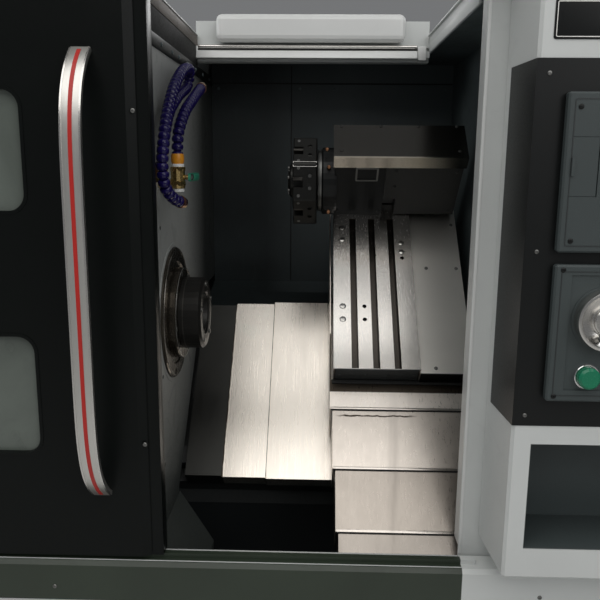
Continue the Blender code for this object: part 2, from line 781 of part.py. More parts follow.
def make_headstock(slant):
    foot_low = WAY_LOWER - WAY_WIDTH / 2 - 0.010
    foot_high = WAY_UPPER + WAY_WIDTH / 2 + 0.010
    seat = BED_FACE + WAY_HEIGHT + FIT
    outline = [(foot_low, seat), (foot_high, seat), (foot_high, seat + 0.050)]
    for i in range(13):
        turn = math.radians(-10.0 + 200.0 * i / 12)
        outline.append(
            (AXIS_S + HEADSTOCK_ROUND * math.cos(turn), AXIS_N + HEADSTOCK_ROUND * math.sin(turn))
        )
    outline.append((foot_low, seat + 0.050))
    headstock = add(
        "headstock", prism(outline, "X", HEADSTOCK_LEFT, HEADSTOCK_RIGHT), CAST_PAINT, slant
    )
    axis = (0.0, AXIS_S, AXIS_N)
    cut(headstock, rod("X", axis, HEADSTOCK_LEFT - REACH, HEADSTOCK_RIGHT + REACH, bore_radius(SHAFT_RADIUS, 36), 36))


def make_spindle(slant):
    axis = (0.0, AXIS_S, AXIS_N)
    bore = bore_radius(SHAFT_RADIUS, 40)
    ring = [
        (HEADSTOCK_RIGHT + FIT, bore),
        (HEADSTOCK_RIGHT + FIT, FLANGE_RADIUS),
        (FLANGE_FACE - 0.002, FLANGE_RADIUS),
        (FLANGE_FACE, FLANGE_RADIUS - 0.002),
        (FLANGE_FACE, COLLAR_RADIUS + 0.012),
        (FLANGE_FACE - 0.003, COLLAR_RADIUS + 0.010),
        (FLANGE_FACE - 0.003, COLLAR_RADIUS),
        (COLLAR_FACE - 0.002, COLLAR_RADIUS),
        (COLLAR_FACE, COLLAR_RADIUS - 0.002),
        (COLLAR_FACE, bore),
    ]
    flange = add("spindle_flange", turned(ring, "X", axis, 40, closed=True), DARK_STEEL, slant)
    screws = []
    for i in range(6):
        turn = math.tau * (i + 0.5) / 6
        place = (
            0.0,
            AXIS_S + (FLANGE_RADIUS - 0.010) * math.cos(turn),
            AXIS_N + (FLANGE_RADIUS - 0.010) * math.sin(turn),
        )
        screws.append(rod("X", place, FLANGE_FACE - 0.008, FLANGE_FACE + REACH, 0.0055, 10))
    cut(flange, merged(*screws))

    spin = pivot("spindle_axis", axis, base=slant)
    nose_back = COLLAR_FACE + RUN
    pulley_right = PULLEY_LEFT + PULLEY_WIDTH
    profile = [
        (SHAFT_LEFT, BORE_RADIUS),
        (SHAFT_LEFT, SHAFT_RADIUS - 0.010),
        (PULLEY_LEFT, SHAFT_RADIUS - 0.010),
    ]
    profile += grooves(PULLEY_LEFT, pulley_right, SPINDLE_PULLEY)
    profile += [
        (pulley_right, SHAFT_RADIUS),
        (nose_back, SHAFT_RADIUS),
        (nose_back, NOSE_RADIUS),
        (NOSE_END - 0.004, NOSE_RADIUS),
        (NOSE_END, NOSE_RADIUS - 0.004),
        (NOSE_END, TAPER_RADIUS + 0.006),
        (NOSE_END - 0.003, TAPER_RADIUS + 0.004),
        (NOSE_END - 0.003, TAPER_RADIUS),
        (NOSE_END - TAPER_DEPTH, BORE_RADIUS),
    ]
    spindle = add("spindle", turned(profile, "X", axis, 36, closed=True), DARK_STEEL, spin)
    keys = []
    for turn in (0.0, math.pi):
        place = (0.0, AXIS_S + 0.052 * math.cos(turn), AXIS_N + 0.052 * math.sin(turn))
        keys.append(rod("X", place, NOSE_END - 0.010, NOSE_END + REACH, 0.0055, 10))
    cut(spindle, merged(*keys))


def grooves(left, right, radius):
    """The grooved rim of a belt pulley, as turned points."""
    points = [(left, radius)]
    pitch = (right - left - 0.006) / PULLEY_GROOVES
    for i in range(PULLEY_GROOVES):
        start = left + 0.003 + i * pitch
        points.append((start + pitch * 0.12, radius))
        points.append((start + pitch * 0.40, radius - GROOVE_DEPTH))
        points.append((start + pitch * 0.60, radius - GROOVE_DEPTH))
        points.append((start + pitch * 0.88, radius))
    points.append((right, radius))
    return points


def make_drive():
    half = DRIVE_SQUARE / 2
    z = BASE_TOP + FIT + half
    outline = rounded((DRIVE_Y - half, DRIVE_Y + half), (z - half, z + half), 0.030, 3)
    motor = add("spindle_motor", prism(outline, "X", DRIVE_LEFT, DRIVE_LEFT + DRIVE_LENGTH), CAST_PAINT)
    middle = (0.0, DRIVE_Y, z)
    depth = 0.050
    cut(motor, rod("X", middle, DRIVE_LEFT - REACH, DRIVE_LEFT + depth, bore_radius(DRIVE_SHAFT, 24), 24))
    fins = []
    for i in range(7):
        left = DRIVE_LEFT + 0.060 + i * 0.040
        fins.append(block((left, left + 0.016), (DRIVE_Y - half * 0.7, DRIVE_Y + half * 0.7), (z + half - 0.008, z + half + REACH)))
    cut(motor, merged(*fins))

    turn = pivot("motor_axis", middle)
    right = PULLEY_LEFT + PULLEY_WIDTH
    profile = [(PULLEY_LEFT - 0.010, 0.0), (PULLEY_LEFT - 0.010, DRIVE_SHAFT), (PULLEY_LEFT, DRIVE_SHAFT)]
    profile += grooves(PULLEY_LEFT, right, MOTOR_PULLEY)
    profile += [(right, DRIVE_SHAFT), (DRIVE_LEFT + depth - RUN, DRIVE_SHAFT), (DRIVE_LEFT + depth - RUN, 0.0)]
    add("motor_pulley", turned(profile, "X", middle, 24), DARK_STEEL, turn)

    top = on_slant(AXIS_S, AXIS_N)
    inner = belt_loop(top, SPINDLE_PULLEY + RUN, (DRIVE_Y, z), MOTOR_PULLEY + RUN)
    thick = RUN + BELT_THICK
    outer = belt_loop(top, SPINDLE_PULLEY + thick, (DRIVE_Y, z), MOTOR_PULLEY + thick)
    add("drive_belt", band(outer, inner, PULLEY_LEFT + 0.003, right - 0.003), RUBBER)


def wall_outline(lift, top):
    """The (y, z) outline of a side wall that clears the bed by lift."""
    low = on_slant(COVER_LOW - COVER_ROOM, BED_FACE + lift)
    high = on_slant(BED_HIGH + 0.040, BED_FACE + lift)
    foot = BASE_TOP + FIT
    back = BACK_WALL_Y + LINER
    return [
        (WALL_FRONT_Y, foot),
        (low[0], foot),
        low,
        high,
        (back, high[1]),
        (back, top),
        (WALL_FRONT_Y, top),
    ]


def make_left_wall():
    wall = add(
        "headstock_wall", prism(wall_outline(WALL_LIFT, WALL_TOP), "X", WALL_X - LINER, WALL_X), WHITE_PAINT
    )
    overlap = LINER / 2
    fuse(
        wall,
        block((ROOF_FLANGE_LEFT + FIT, WALL_X - overlap), (WALL_FRONT_Y, BACK_WALL_Y), (WALL_TOP - LINER, WALL_TOP)),
    )
    slope = strip(
        [(WALL_X - overlap, CHUTE_TOP), (WALL_X + CHUTE_RUN, CHUTE_BOTTOM), (WALL_X + CHUTE_RUN, CHUTE_BOTTOM - 0.030)],
        LINER,
    )
    fuse(wall, prism(slope, "Y", WALL_FRONT_Y, CHUTE_BACK_Y))
    axis = (0.0, *on_slant(AXIS_S, AXIS_N))
    cut(wall, rod("X", axis, WALL_X - REACH, WALL_X + REACH, FLANGE_RADIUS + RUN, 40))


def make_right_wall():
    wall = add(
        "right_wall",
        prism(wall_outline(RIGHT_WALL_LIFT, CEILING_Z - FIT), "X", RIGHT_WALL_X, RIGHT_WALL_X + LINER),
        BLACK_PAINT,
    )
    top = CEILING_Z - FIT
    soffit = block((OPENING_RIGHT, RIGHT_WALL_X + LINER / 2), (WALL_FRONT_Y, BACK_WALL_Y - FIT), (top - LINER, top))
    fuse(wall, soffit)


def make_back_wall():
    y, z = on_slant(BED_HIGH, BED_FACE)
    fold = z + FIT
    path = [
        (BEAM_BACK_Y + FIT, CEILING_Z + LINER),
        (BACK_WALL_Y + LINER, CEILING_Z + LINER),
        (BACK_WALL_Y + LINER, fold + BACK_FOLD_RISE),
        (y + 0.019, fold),
    ]
    outline = strip(path[::-1], LINER)
    add("back_wall", prism(outline, "X", WALL_X + FIT, RIGHT_WALL_X - FIT), BLACK_PAINT)


def make_enclosure():
    start = FRONT_Y + HEADER_DEPTH + FIT
    end = REAR_Y - SHEET - FIT
    foot = BASE_TOP + FIT
    left = [
        (-OUTER_X, foot),
        (-OUTER_X, ROOF_Z),
        (ROOF_FLANGE_LEFT, ROOF_Z),
        (ROOF_FLANGE_LEFT, ROOF_Z - ROOF_FLANGE_DROP),
    ]
    add("left_enclosure", prism(strip(left[::-1], SHEET), "Y", start, end), WHITE_PAINT)
    right = [(OPENING_RIGHT, CEILING_Z + LINER + FIT), (OPENING_RIGHT, ROOF_Z), (OUTER_X, ROOF_Z), (OUTER_X, foot)]
    add("right_enclosure", prism(strip(right[::-1], SHEET), "Y", start, end), WHITE_PAINT)

    rear = add(
        "rear_enclosure", block((-OUTER_X, OUTER_X), (REAR_Y - SHEET, REAR_Y), (foot, ROOF_Z)), WHITE_PAINT
    )
    roof = block(
        (ROOF_FLANGE_LEFT + FIT, OPENING_RIGHT - FIT), (BEAM_BACK_Y + FIT, REAR_Y - SHEET / 2), (ROOF_Z - SHEET, ROOF_Z)
    )
    fuse(rear, roof)
    louvres = []
    for i in range(8):
        z = foot + 0.265 + i * 0.030
        louvres.append(block((-0.700, -0.400), (REAR_Y - REACH, REAR_Y + REACH), (z, z + 0.010)))
    cut(rear, merged(*louvres))


def make_front():
    foot = BASE_TOP + FIT
    outline = [
        (-OUTER_X, foot),
        (OPENING_LEFT, foot),
        (OPENING_LEFT, OPENING_TOP),
        (OPENING_RIGHT, OPENING_TOP),
        (OPENING_RIGHT, foot),
        (OUTER_X, foot),
        (OUTER_X, HEADER_TOP),
        (-OUTER_X, HEADER_TOP),
    ]
    front = add("front_frame", prism(outline, "Y", FRONT_Y, FRONT_Y + SHEET), WHITE_PAINT)
    back = FRONT_Y + HEADER_DEPTH
    inside = FRONT_Y + SHEET / 2
    fuse(front, block((OPENING_RIGHT, OPENING_RIGHT + SHEET), (inside, FRONT_Y + POST_RETURN), (RETURN_BOTTOM, OPENING_TOP + SHEET)))
    for x in (-OUTER_X, OUTER_X - SHEET):
        fuse(front, block((x, x + SHEET), (inside, back), (foot, OPENING_TOP + SHEET)))
    fuse(front, block((-OUTER_X, OUTER_X), (inside, back), (OPENING_TOP, HEADER_TOP)))
    lip = DOOR_FRONT - RUN
    hood = [
        (inside, HEADER_TOP),
        (inside, HEADER_TOP - 0.010),
        (lip, HEADER_TOP - 0.010),
        (lip, DOOR_TOP - 0.010),
        (lip - 0.012, DOOR_TOP - 0.010),
        (lip - 0.012, HEADER_TOP),
    ]
    fuse(front, prism(hood, "X", -OUTER_X, POD_LEFT_BACK - 0.001))


def make_beam():
    y = BEAM_FRONT_Y
    ledge = BEAM_TOP - BEAM_LEDGE
    outline = [
        (BEAM_BACK_Y, BEAM_BOTTOM),
        (BEAM_BACK_Y, BEAM_TOP),
        (y, BEAM_TOP),
        (y, ledge),
        (y - 0.010, ledge),
        (y - 0.010, ledge - 0.005),
        (y - 0.002, ledge - 0.005),
        (y - 0.002, ledge - 0.012),
        (y - 0.016, ledge - 0.012),
        (y - 0.016, ledge - 0.026),
        (y - 0.004, ledge - 0.026),
        (y - 0.004, BEAM_BOTTOM),
    ]
    span = (ROOF_FLANGE_LEFT + FIT, OPENING_RIGHT - FIT)
    add("rear_beam", prism(outline, "X", *span), WHITE_PAINT)
    x, z = COVER_BOX
    cover = add("beam_cover", block(x, (y - FIT - COVER_BOX_DEPTH, y - FIT), z), WHITE_PAINT)
    soften(cover, COVER_BOX_ROUND, 3)


def make_pod():
    outline = [
        (POD_LEFT_BACK, FRONT_Y - FIT),
        (POD_LEFT_FRONT, POD_FRONT),
        (OUTER_X, POD_FRONT),
        (OUTER_X, FRONT_Y - FIT),
    ]
    pod = add("control_pod", prism(outline, "Z", POD_BOTTOM, HEADER_TOP), WHITE_PAINT)
    soften(pod, 0.004, 1)
    inset = inset_outline(0.0)
    room = inset_outline(FIT)
    cut(pod, prism(room, "Z", INSET_Z[0] - FIT, INSET_Z[1] + FIT))
    cut(pod, block(NICHE_X, (POD_FRONT - REACH, POD_FRONT + NICHE_DEPTH), NICHE_Z))
    add("control_inset", prism(inset, "Z", *INSET_Z), BLACK_PAINT)


def pod_side(y):
    """X of the pod's left side at a given depth."""
    share = (FRONT_Y - FIT - y) / (FRONT_Y - FIT - POD_FRONT)
    return POD_LEFT_BACK + share * (POD_LEFT_FRONT - POD_LEFT_BACK)


def inset_outline(room):
    """The black inset wraps the pod's left corner; room widens it into its recess."""
    proud = INSET_PROUD if room == 0.0 else REACH
    back = INSET_SIDE_Y + room
    depth = INSET_THICK + room
    return [
        (pod_side(back) - proud, back),
        (POD_LEFT_FRONT - proud, POD_FRONT - proud),
        (INSET_RIGHT + room, POD_FRONT - proud),
        (INSET_RIGHT + room, POD_FRONT + depth),
        (POD_LEFT_FRONT + depth, POD_FRONT + depth),
        (pod_side(back) + depth, back),
    ]


def make_controls():
    back = POD_FRONT - INSET_PROUD - FIT
    face = back - UNIT_PROUD
    display = add("display_unit", block(UNIT_X, (face, back), DISPLAY_Z), UNIT_GREY)
    soften(display, 0.0025, 1)
    flap_back = face + FLAP_THICK + RUN
    cut(
        display,
        block(SCREEN_X, (face - REACH, face + SCREEN_DEPTH), SCREEN_Z),
        block(FLAP_X, (face - REACH, flap_back), FLAP_Z),
    )
    panel = add("operator_panel", block(UNIT_X, (face, back), PANEL_Z), UNIT_GREY)
    soften(panel, 0.0025, 1)
    field = face + KEY_FIELD_DEPTH
    cut(panel, block(KEY_FIELD_X, (face - REACH, field), KEY_FIELD_Z))
    holes = []
    for x, z in (START_AT, STOP_AT, WHEEL_AT):
        holes.append(rod("Y", (x, 0.0, z), field - REACH, field + STEM_DEPTH, BUTTON_HOLE, HOLE_SIDES))
    cut(panel, merged(*holes))

    hinge_x = FLAP_X[1] - FLAP_PIN - RUN
    pin = pivot("flap_hinge", (hinge_x, face + FLAP_PIN, FLAP_Z[0]))
    low, high = FLAP_Z[0] + RUN, FLAP_Z[1] - RUN
    flap = add(
        "card_flap", block((FLAP_X[0] + RUN, hinge_x), (face, face + FLAP_PIN * 2), (low, high)), UNIT_GREY, pin
    )
    fuse(flap, rod("Z", (hinge_x, face + FLAP_PIN, 0.0), low, high, FLAP_PIN, 12))
    tab = block((FLAP_X[0] + RUN, FLAP_X[0] + 0.004), (face - 0.003, face + 0.001), (low + 0.025, high - 0.025))
    fuse(flap, tab)

    press_button("start_button", START_AT, field, 0.0165, 0.0145, BUTTON_GREEN)
    press_button("emergency_stop", STOP_AT, field, -CONTROL_FRONT + field, 0.0190, STOP_RED)

    x, z = WHEEL_AT
    axle = pivot("handwheel_axis", (x, field, z))
    wheel_back = field - 0.002
    wheel_front = wheel_back - 0.018
    profile = [
        (field + STEM_DEPTH - RUN, 0.0),
        (field + STEM_DEPTH - RUN, stem_radius()),
        (field - RUN, stem_radius()),
        (wheel_back, WHEEL_RADIUS - 0.004),
        (wheel_back - 0.003, WHEEL_RADIUS),
        (wheel_front + 0.004, WHEEL_RADIUS),
        (wheel_front, WHEEL_RADIUS - 0.004),
        (wheel_front, WHEEL_RADIUS - 0.012),
        (wheel_front + 0.004, WHEEL_RADIUS - 0.015),
        (wheel_front + 0.004, 0.010),
        (wheel_front + 0.001, 0.008),
        (wheel_front + 0.001, 0.0),
    ]
    wheel = add("handwheel", turned(profile, "Y", (x, 0.0, z), 36), CHROME, axle)
    knob = (x - 0.009, 0.0, z - 0.021)
    grip = [
        (wheel_front + 0.006, 0.0),
        (wheel_front + 0.006, 0.003),
        (wheel_front - 0.002, 0.003),
        (wheel_front - 0.004, 0.0055),
        (CONTROL_FRONT + 0.003, 0.0055),
        (CONTROL_FRONT, 0.003),
        (CONTROL_FRONT, 0.0),
    ]
    fuse(wheel, turned(grip, "Y", knob, 12))


def stem_radius():
    """Radius of a stem that clears the flats of its hole."""
    return BUTTON_HOLE * math.cos(math.pi / HOLE_SIDES) - SHAFT_FIT


def press_button(name, place, field, height, radius, look):
    """A round button whose stem runs in the operator panel. Height is from the key field to its top."""
    x, z = place
    press = pivot(f"{name}_press", (x, field, z))
    travel = 0.005
    head = field - travel
    top = field - height
    rim = min(0.003, radius / 4)
    profile = [
        (field + STEM_DEPTH - travel - RUN, 0.0),
        (field + STEM_DEPTH - travel - RUN, stem_radius()),
        (head, stem_radius()),
        (head, radius),
        (top + rim, radius),
        (top, radius - rim),
        (top, 0.0),
    ]
    add(name, turned(profile, "Y", (x, 0.0, z), 28), look, press)


def make_door():
    slide = pivot("door_slide", (DOOR_RIGHT, DOOR_FRONT, DOOR_BOTTOM))
    left = DOOR_RIGHT - DOOR_WIDTH
    back = DOOR_FRONT + DOOR_THICK
    strip_left = DOOR_RIGHT - STRIP_WIDTH
    outline = [
        (left, DOOR_FRONT),
        (strip_left - STRIP_SLOPE, DOOR_FRONT),
        (strip_left, DOOR_FRONT + STRIP_DEPTH),
        (DOOR_RIGHT, DOOR_FRONT + STRIP_DEPTH),
        (DOOR_RIGHT, back),
        (left, back),
    ]
    door = add("door_panel", prism(outline, "Z", DOOR_BOTTOM, DOOR_TOP), BLACK_PAINT, slide)
    right = DOOR_RIGHT - WINDOW_INSET
    span = (right - WINDOW_WIDTH, right)
    glass_front = DOOR_FRONT + GLASS_DEPTH
    for name, z in (("door_window_upper", WINDOW_UPPER), ("door_window_lower", WINDOW_LOWER)):
        cut(door, prism(rounded(span, z, WINDOW_ROUND), "Y", DOOR_FRONT - REACH, back + REACH))
        pane = rounded(
            (span[0] + FIT, span[1] - FIT), (z[0] + FIT, z[1] - FIT), WINDOW_ROUND - FIT
        )
        add(name, prism(pane, "Y", glass_front, glass_front + GLASS_THICK), GLASS, slide)

    middle = DOOR_RIGHT - HANDLE_INSET
    seat = DOOR_FRONT - FIT
    height = (HANDLE_TOP - HANDLE_BOTTOM) / 2
    centre = (HANDLE_TOP + HANDLE_BOTTOM) / 2
    steps = 32
    outer = []
    for i in range(steps + 1):
        turn = math.pi * i / steps
        z = centre - height * math.cos(turn)
        bow = (1.0 - abs(math.cos(turn)) ** 7) * (HANDLE_BOW - HANDLE_THICK) + HANDLE_THICK
        outer.append((seat - bow, z))
    inner = []
    for i in range(1, steps):
        y, z = outer[i]
        before, after = Vector(outer[i - 1]), Vector(outer[i + 1])
        inward = Vector((after.y - before.y, before.x - after.x)).normalized()
        if inward.x < 0.0:
            inward = -inward
        point = Vector((y, z)) + inward * HANDLE_THICK
        inner.append((min(point.x, seat), point.y))
    foot_length = 0.020
    inner = [point for point in inner if HANDLE_BOTTOM + foot_length < point[1] < HANDLE_TOP - foot_length]
    inner = [point for point in inner if point[0] < seat - 0.004]
    loop = [(seat, HANDLE_BOTTOM)] + outer + [(seat, HANDLE_TOP), (seat, HANDLE_TOP - foot_length)]
    loop += inner[::-1] + [(seat, HANDLE_BOTTOM + foot_length)]
    half = HANDLE_WIDTH / 2
    add("door_handle", prism(loop, "X", middle - half, middle + half), ALUMINIUM, slide)


def bed_cover(name, x, level, parent, skirt=COVER_SKIRT, rim=True):
    """A folded plate over the bed. Level 0 is the outermost, and each next one nests under it."""
    top = COVER_TOP - level * NEST
    low = COVER_LOW + level * STEP_IN
    high = COVER_HIGH - level * STEP_IN
    path = [(low, top - skirt), (low, top), (high, top), (high, top - skirt)]
    cover = add(name, prism(strip(path[::-1], LINER), "X", *x), COVER_STEEL, parent)
    if rim:
        edge = block((x[0], x[0] + RIM_WIDTH), (low + 0.002, high - 0.002), (top - LINER / 2, top + RIM_HEIGHT))
        fuse(cover, edge)
    return cover


def cross_cover(name, low, high, level, parent):
    """A folded plate over the saddle, with sides. Level 0 rides on the slide and the last is fixed."""
    top = X_COVER_TOP - level * NEST
    side = level * X_COVER_SIDE
    left, right = X_COVER_LEFT + side, X_COVER_RIGHT - side
    bottom = X_COVER_TOP - X_COVER_SKIRT
    path = [(left, bottom), (left, top), (right, top), (right, bottom)]
    shape = prism(strip(path[::-1], LINER), "Y", low, high)
    return add(name, shape, COVER_STEEL, parent)


def make_covers(slant, saddle, slide):
    left, right = FIXED_COVER
    fixed_level = 2
    skirt = COVER_TOP - fixed_level * NEST - BED_FACE - FIT
    bed_cover("z_cover_fixed", (left, right + COVER_LAP), fixed_level, slant, skirt, rim=False)
    middle = pivot("z_cover_inner_slide", (INNER_COVER_LEFT, COVER_LOW, COVER_TOP), base=slant)
    bed_cover("z_cover_inner", (INNER_COVER_LEFT, OUTER_COVER_LEFT + COVER_LAP), 1, middle)
    bed_cover("z_cover_outer", (OUTER_COVER_LEFT, SADDLE_LEFT - FIT), 0, saddle)
    beside = SADDLE_LEFT + SADDLE_WIDTH + FIT
    bed_cover("z_cover_right", (beside, RIGHT_COVER_END), 0, saddle, rim=False)

    front, upper, lower, base = X_COVER_EDGES
    lead = cross_cover("x_cover_front", front, SLIDE_FRONT - FIT, 0, slide)
    bottom = X_COVER_TOP - X_COVER_SKIRT
    overlap = 0.004
    for x in (X_COVER_LEFT, X_COVER_RIGHT - LINER):
        fuse(
            lead,
            block((x, x + LINER), (SLIDE_FRONT - overlap, SLIDE_BACK), (bottom, SLIDE_BOTTOM - FIT)),
        )
    upper_slide = pivot("x_cover_upper_slide", (X_COVER_LEFT, upper, X_COVER_TOP), slant, saddle)
    cross_cover("x_cover_upper", upper, front + COVER_LAP, 1, upper_slide)
    lower_slide = pivot("x_cover_lower_slide", (X_COVER_LEFT, lower, X_COVER_TOP), slant, saddle)
    cross_cover("x_cover_lower", lower, upper + COVER_LAP, 2, lower_slide)
    cross_cover("x_cover_base", base, lower + COVER_LAP, 3, saddle)


def make_saddle(slant, saddle):
    way = BED_FACE + WAY_HEIGHT + FIT
    outline = [(SADDLE_LOW, SADDLE_TOP), (SADDLE_LOW, SADDLE_TOP - 0.030), (BED_LOW + 0.003, SADDLE_BELLY + 0.010)]
    for middle in (WAY_LOWER, WAY_UPPER):
        half = WAY_WIDTH / 2 + FIT
        shoe = 0.022
        outline += [
            (middle - half - shoe, SADDLE_BELLY),
            (middle - half - shoe, SADDLE_SHOE),
            (middle - half, SADDLE_SHOE),
            (middle - half, way),
            (middle + half, way),
            (middle + half, SADDLE_SHOE),
            (middle + half + shoe, SADDLE_SHOE),
            (middle + half + shoe, SADDLE_BELLY),
        ]
    outline += [(SADDLE_HIGH, SADDLE_BELLY + 0.030), (SADDLE_HIGH, SADDLE_TOP)]
    right = SADDLE_LEFT + SADDLE_WIDTH
    body = add("saddle", prism(outline, "X", SADDLE_LEFT, right), CAST_PAINT, saddle)
    middle = (SADDLE_LEFT + right) / 2
    sunk = 0.003
    for x in (middle - CROSS_WAY_SPAN / 2, middle + CROSS_WAY_SPAN / 2):
        half = CROSS_WAY_WIDTH / 2
        top = SADDLE_TOP + CROSS_WAY_HEIGHT
        fuse(body, block((x - half, x + half), (BED_LOW - 0.060, SADDLE_HIGH - sunk), (SADDLE_TOP - sunk, top)))
    s, n = Z_SCREW
    nut = block(
        (middle - NUT_LENGTH / 2, middle + NUT_LENGTH / 2),
        (s - 0.026, s + 0.026),
        (BED_FACE + 0.003, SADDLE_BELLY + sunk),
    )
    fuse(body, nut)
    cut(body, rod("X", (0.0, s, n), middle - NUT_LENGTH, middle + NUT_LENGTH, SCREW_RADIUS + RUN, 20))
    half = CHANNEL_WIDTH / 2
    low, high = BED_LOW - 0.070, SADDLE_HIGH - 0.020
    cut(body, block((middle - half, middle + half), (low, high), (SADDLE_TOP - CHANNEL_DEPTH, SADDLE_TOP + REACH)))
    cut(body, rod("Y", (middle, 0.0, X_SCREW_N), low - 0.015, SADDLE_HIGH + REACH, SCREW_RADIUS - 0.004, 20))
    return middle


def screw_shape(axis, centre, start, end, motor_end):
    """A ball screw: a full-diameter thread with turned-down ends. The motor is at motor_end."""
    neck = SCREW_RADIUS - 0.004 - RUN
    profile = [
        (start, 0.0),
        (start, neck),
        (start + 0.013, neck),
        (start + 0.013, SCREW_RADIUS),
        (end, SCREW_RADIUS),
        (end, neck),
        (motor_end, neck),
        (motor_end, 0.0),
    ]
    return turned(profile, axis, centre, 20)


def make_screws(slant, saddle, middle):
    s, n = Z_SCREW
    z_axis = pivot("z_screw_axis", (BEARING_LEFT, s, n), base=slant)
    start = BEARING_LEFT + 0.006
    end = BED_RIGHT - 0.012
    profile = [(start, 0.0), (start, SCREW_RADIUS), (end, SCREW_RADIUS), (end, 0.0)]
    add("z_screw", turned(profile, "X", (0.0, s, n), 20), GROUND_STEEL, z_axis)
    half = MOTOR_SQUARE / 2
    face = BED_RIGHT + FIT
    motor = add("z_motor", block((face, face + MOTOR_LENGTH), (s - half, s + half), (n - half, n + half)), DARK_STEEL, slant)
    soften(motor, 0.006, 2)

    low, high = BED_LOW - 0.070, SADDLE_HIGH - 0.020
    x_axis = pivot("x_screw_axis", (middle, low, X_SCREW_N), slant, saddle)
    shape = screw_shape("Y", (middle, 0.0, X_SCREW_N), low - 0.012, high - RUN, SADDLE_HIGH - RUN)
    add("x_screw", shape, GROUND_STEEL, x_axis)
    face = SADDLE_HIGH + FIT
    low, high = X_SCREW_N - half, X_SCREW_N + half
    shape = block((middle - half, middle + half), (face, face + X_MOTOR_LENGTH), (low, high))
    motor = add("x_motor", shape, DARK_STEEL, saddle)
    soften(motor, 0.006, 2)


def make_slide(slide, middle):
    seat = SADDLE_TOP + CROSS_WAY_HEIGHT + FIT
    table_right = TABLE_LEFT + TABLE_WIDTH
    side = SADDLE_LEFT + SADDLE_WIDTH
    wing = 0.012
    keel_left, keel_right = SADDLE_LEFT + wing, side - wing
    half = CROSS_WAY_WIDTH / 2 + FIT
    shoe = SADDLE_TOP + 0.002
    outline = [(keel_left, seat)]
    for x in (middle - CROSS_WAY_SPAN / 2, middle + CROSS_WAY_SPAN / 2):
        outer, inner = (x - half, x + half)
        outline += [(outer - 0.008, seat), (outer - 0.008, shoe), (outer, shoe), (outer, seat)]
        outline += [(inner, seat), (inner, shoe), (inner + 0.008, shoe), (inner + 0.008, seat)]
    outline += [
        (keel_right, seat),
        (keel_right, SLIDE_BOTTOM),
        (SLIDE_RIGHT, SLIDE_BOTTOM),
        (SLIDE_RIGHT, SIDE_STEP),
        (table_right, SIDE_STEP),
        (table_right, TABLE_TOP),
        (TABLE_LEFT, TABLE_TOP),
        (TABLE_LEFT, SLIDE_BOTTOM),
        (keel_left, SLIDE_BOTTOM),
    ]
    body = add("cross_slide", prism(outline, "Y", SLIDE_FRONT, SLIDE_BACK), GROUND_STEEL, slide)
    nut = block(
        (middle - CHANNEL_WIDTH / 2 + 0.002, middle + CHANNEL_WIDTH / 2 - 0.002),
        (SLIDE_FRONT + 0.122, SLIDE_FRONT + 0.122 + NUT_LENGTH),
        (SADDLE_TOP - CHANNEL_DEPTH + 0.002, seat + 0.002),
    )
    fuse(body, nut)
    cut(body, rod("Y", (middle, 0.0, X_SCREW_N), SLIDE_FRONT + 0.102, SLIDE_FRONT + 0.142 + NUT_LENGTH, SCREW_RADIUS + RUN, 20))
    slots = []
    for i in range(3):
        x = TABLE_LEFT + T_SLOT_FIRST + i * T_SLOT_PITCH
        neck, head = T_SLOT_WIDTH / 2, T_SLOT_HEAD / 2
        tee = [
            (x - neck, TABLE_TOP + REACH),
            (x - neck, TABLE_TOP - T_SLOT_NECK),
            (x - head, TABLE_TOP - T_SLOT_NECK),
            (x - head, TABLE_TOP - T_SLOT_DEPTH),
            (x + head, TABLE_TOP - T_SLOT_DEPTH),
            (x + head, TABLE_TOP - T_SLOT_NECK),
            (x + neck, TABLE_TOP - T_SLOT_NECK),
            (x + neck, TABLE_TOP + REACH),
        ]
        slots.append(prism(tee, "Y", SLIDE_FRONT - REACH, HOUSING_FRONT - T_SLOT_STOP))
    cut(body, merged(*slots))
    holes = []
    for x, s in TAPPED_HOLES:
        place = (TABLE_LEFT + x, SLIDE_FRONT + s, 0.0)
        holes.append(rod("Z", place, TABLE_TOP - TAPPED_DEPTH, TABLE_TOP + REACH, TAPPED_RADIUS, 12))
    cut(body, merged(*holes))

    low = SIDE_STEP + FIT
    plate = block((table_right + RUN, SLIDE_RIGHT), (SLIDE_FRONT - 0.004, SLIDE_BACK), (low, low + LINER))
    cover = add("slide_side_cover", plate, COVER_STEEL, slide)
    skirt = block((table_right + RUN, SLIDE_RIGHT), (SLIDE_FRONT - 0.004, SLIDE_FRONT - FIT), (SLIDE_BOTTOM, low + LINER / 2))
    fuse(cover, skirt)


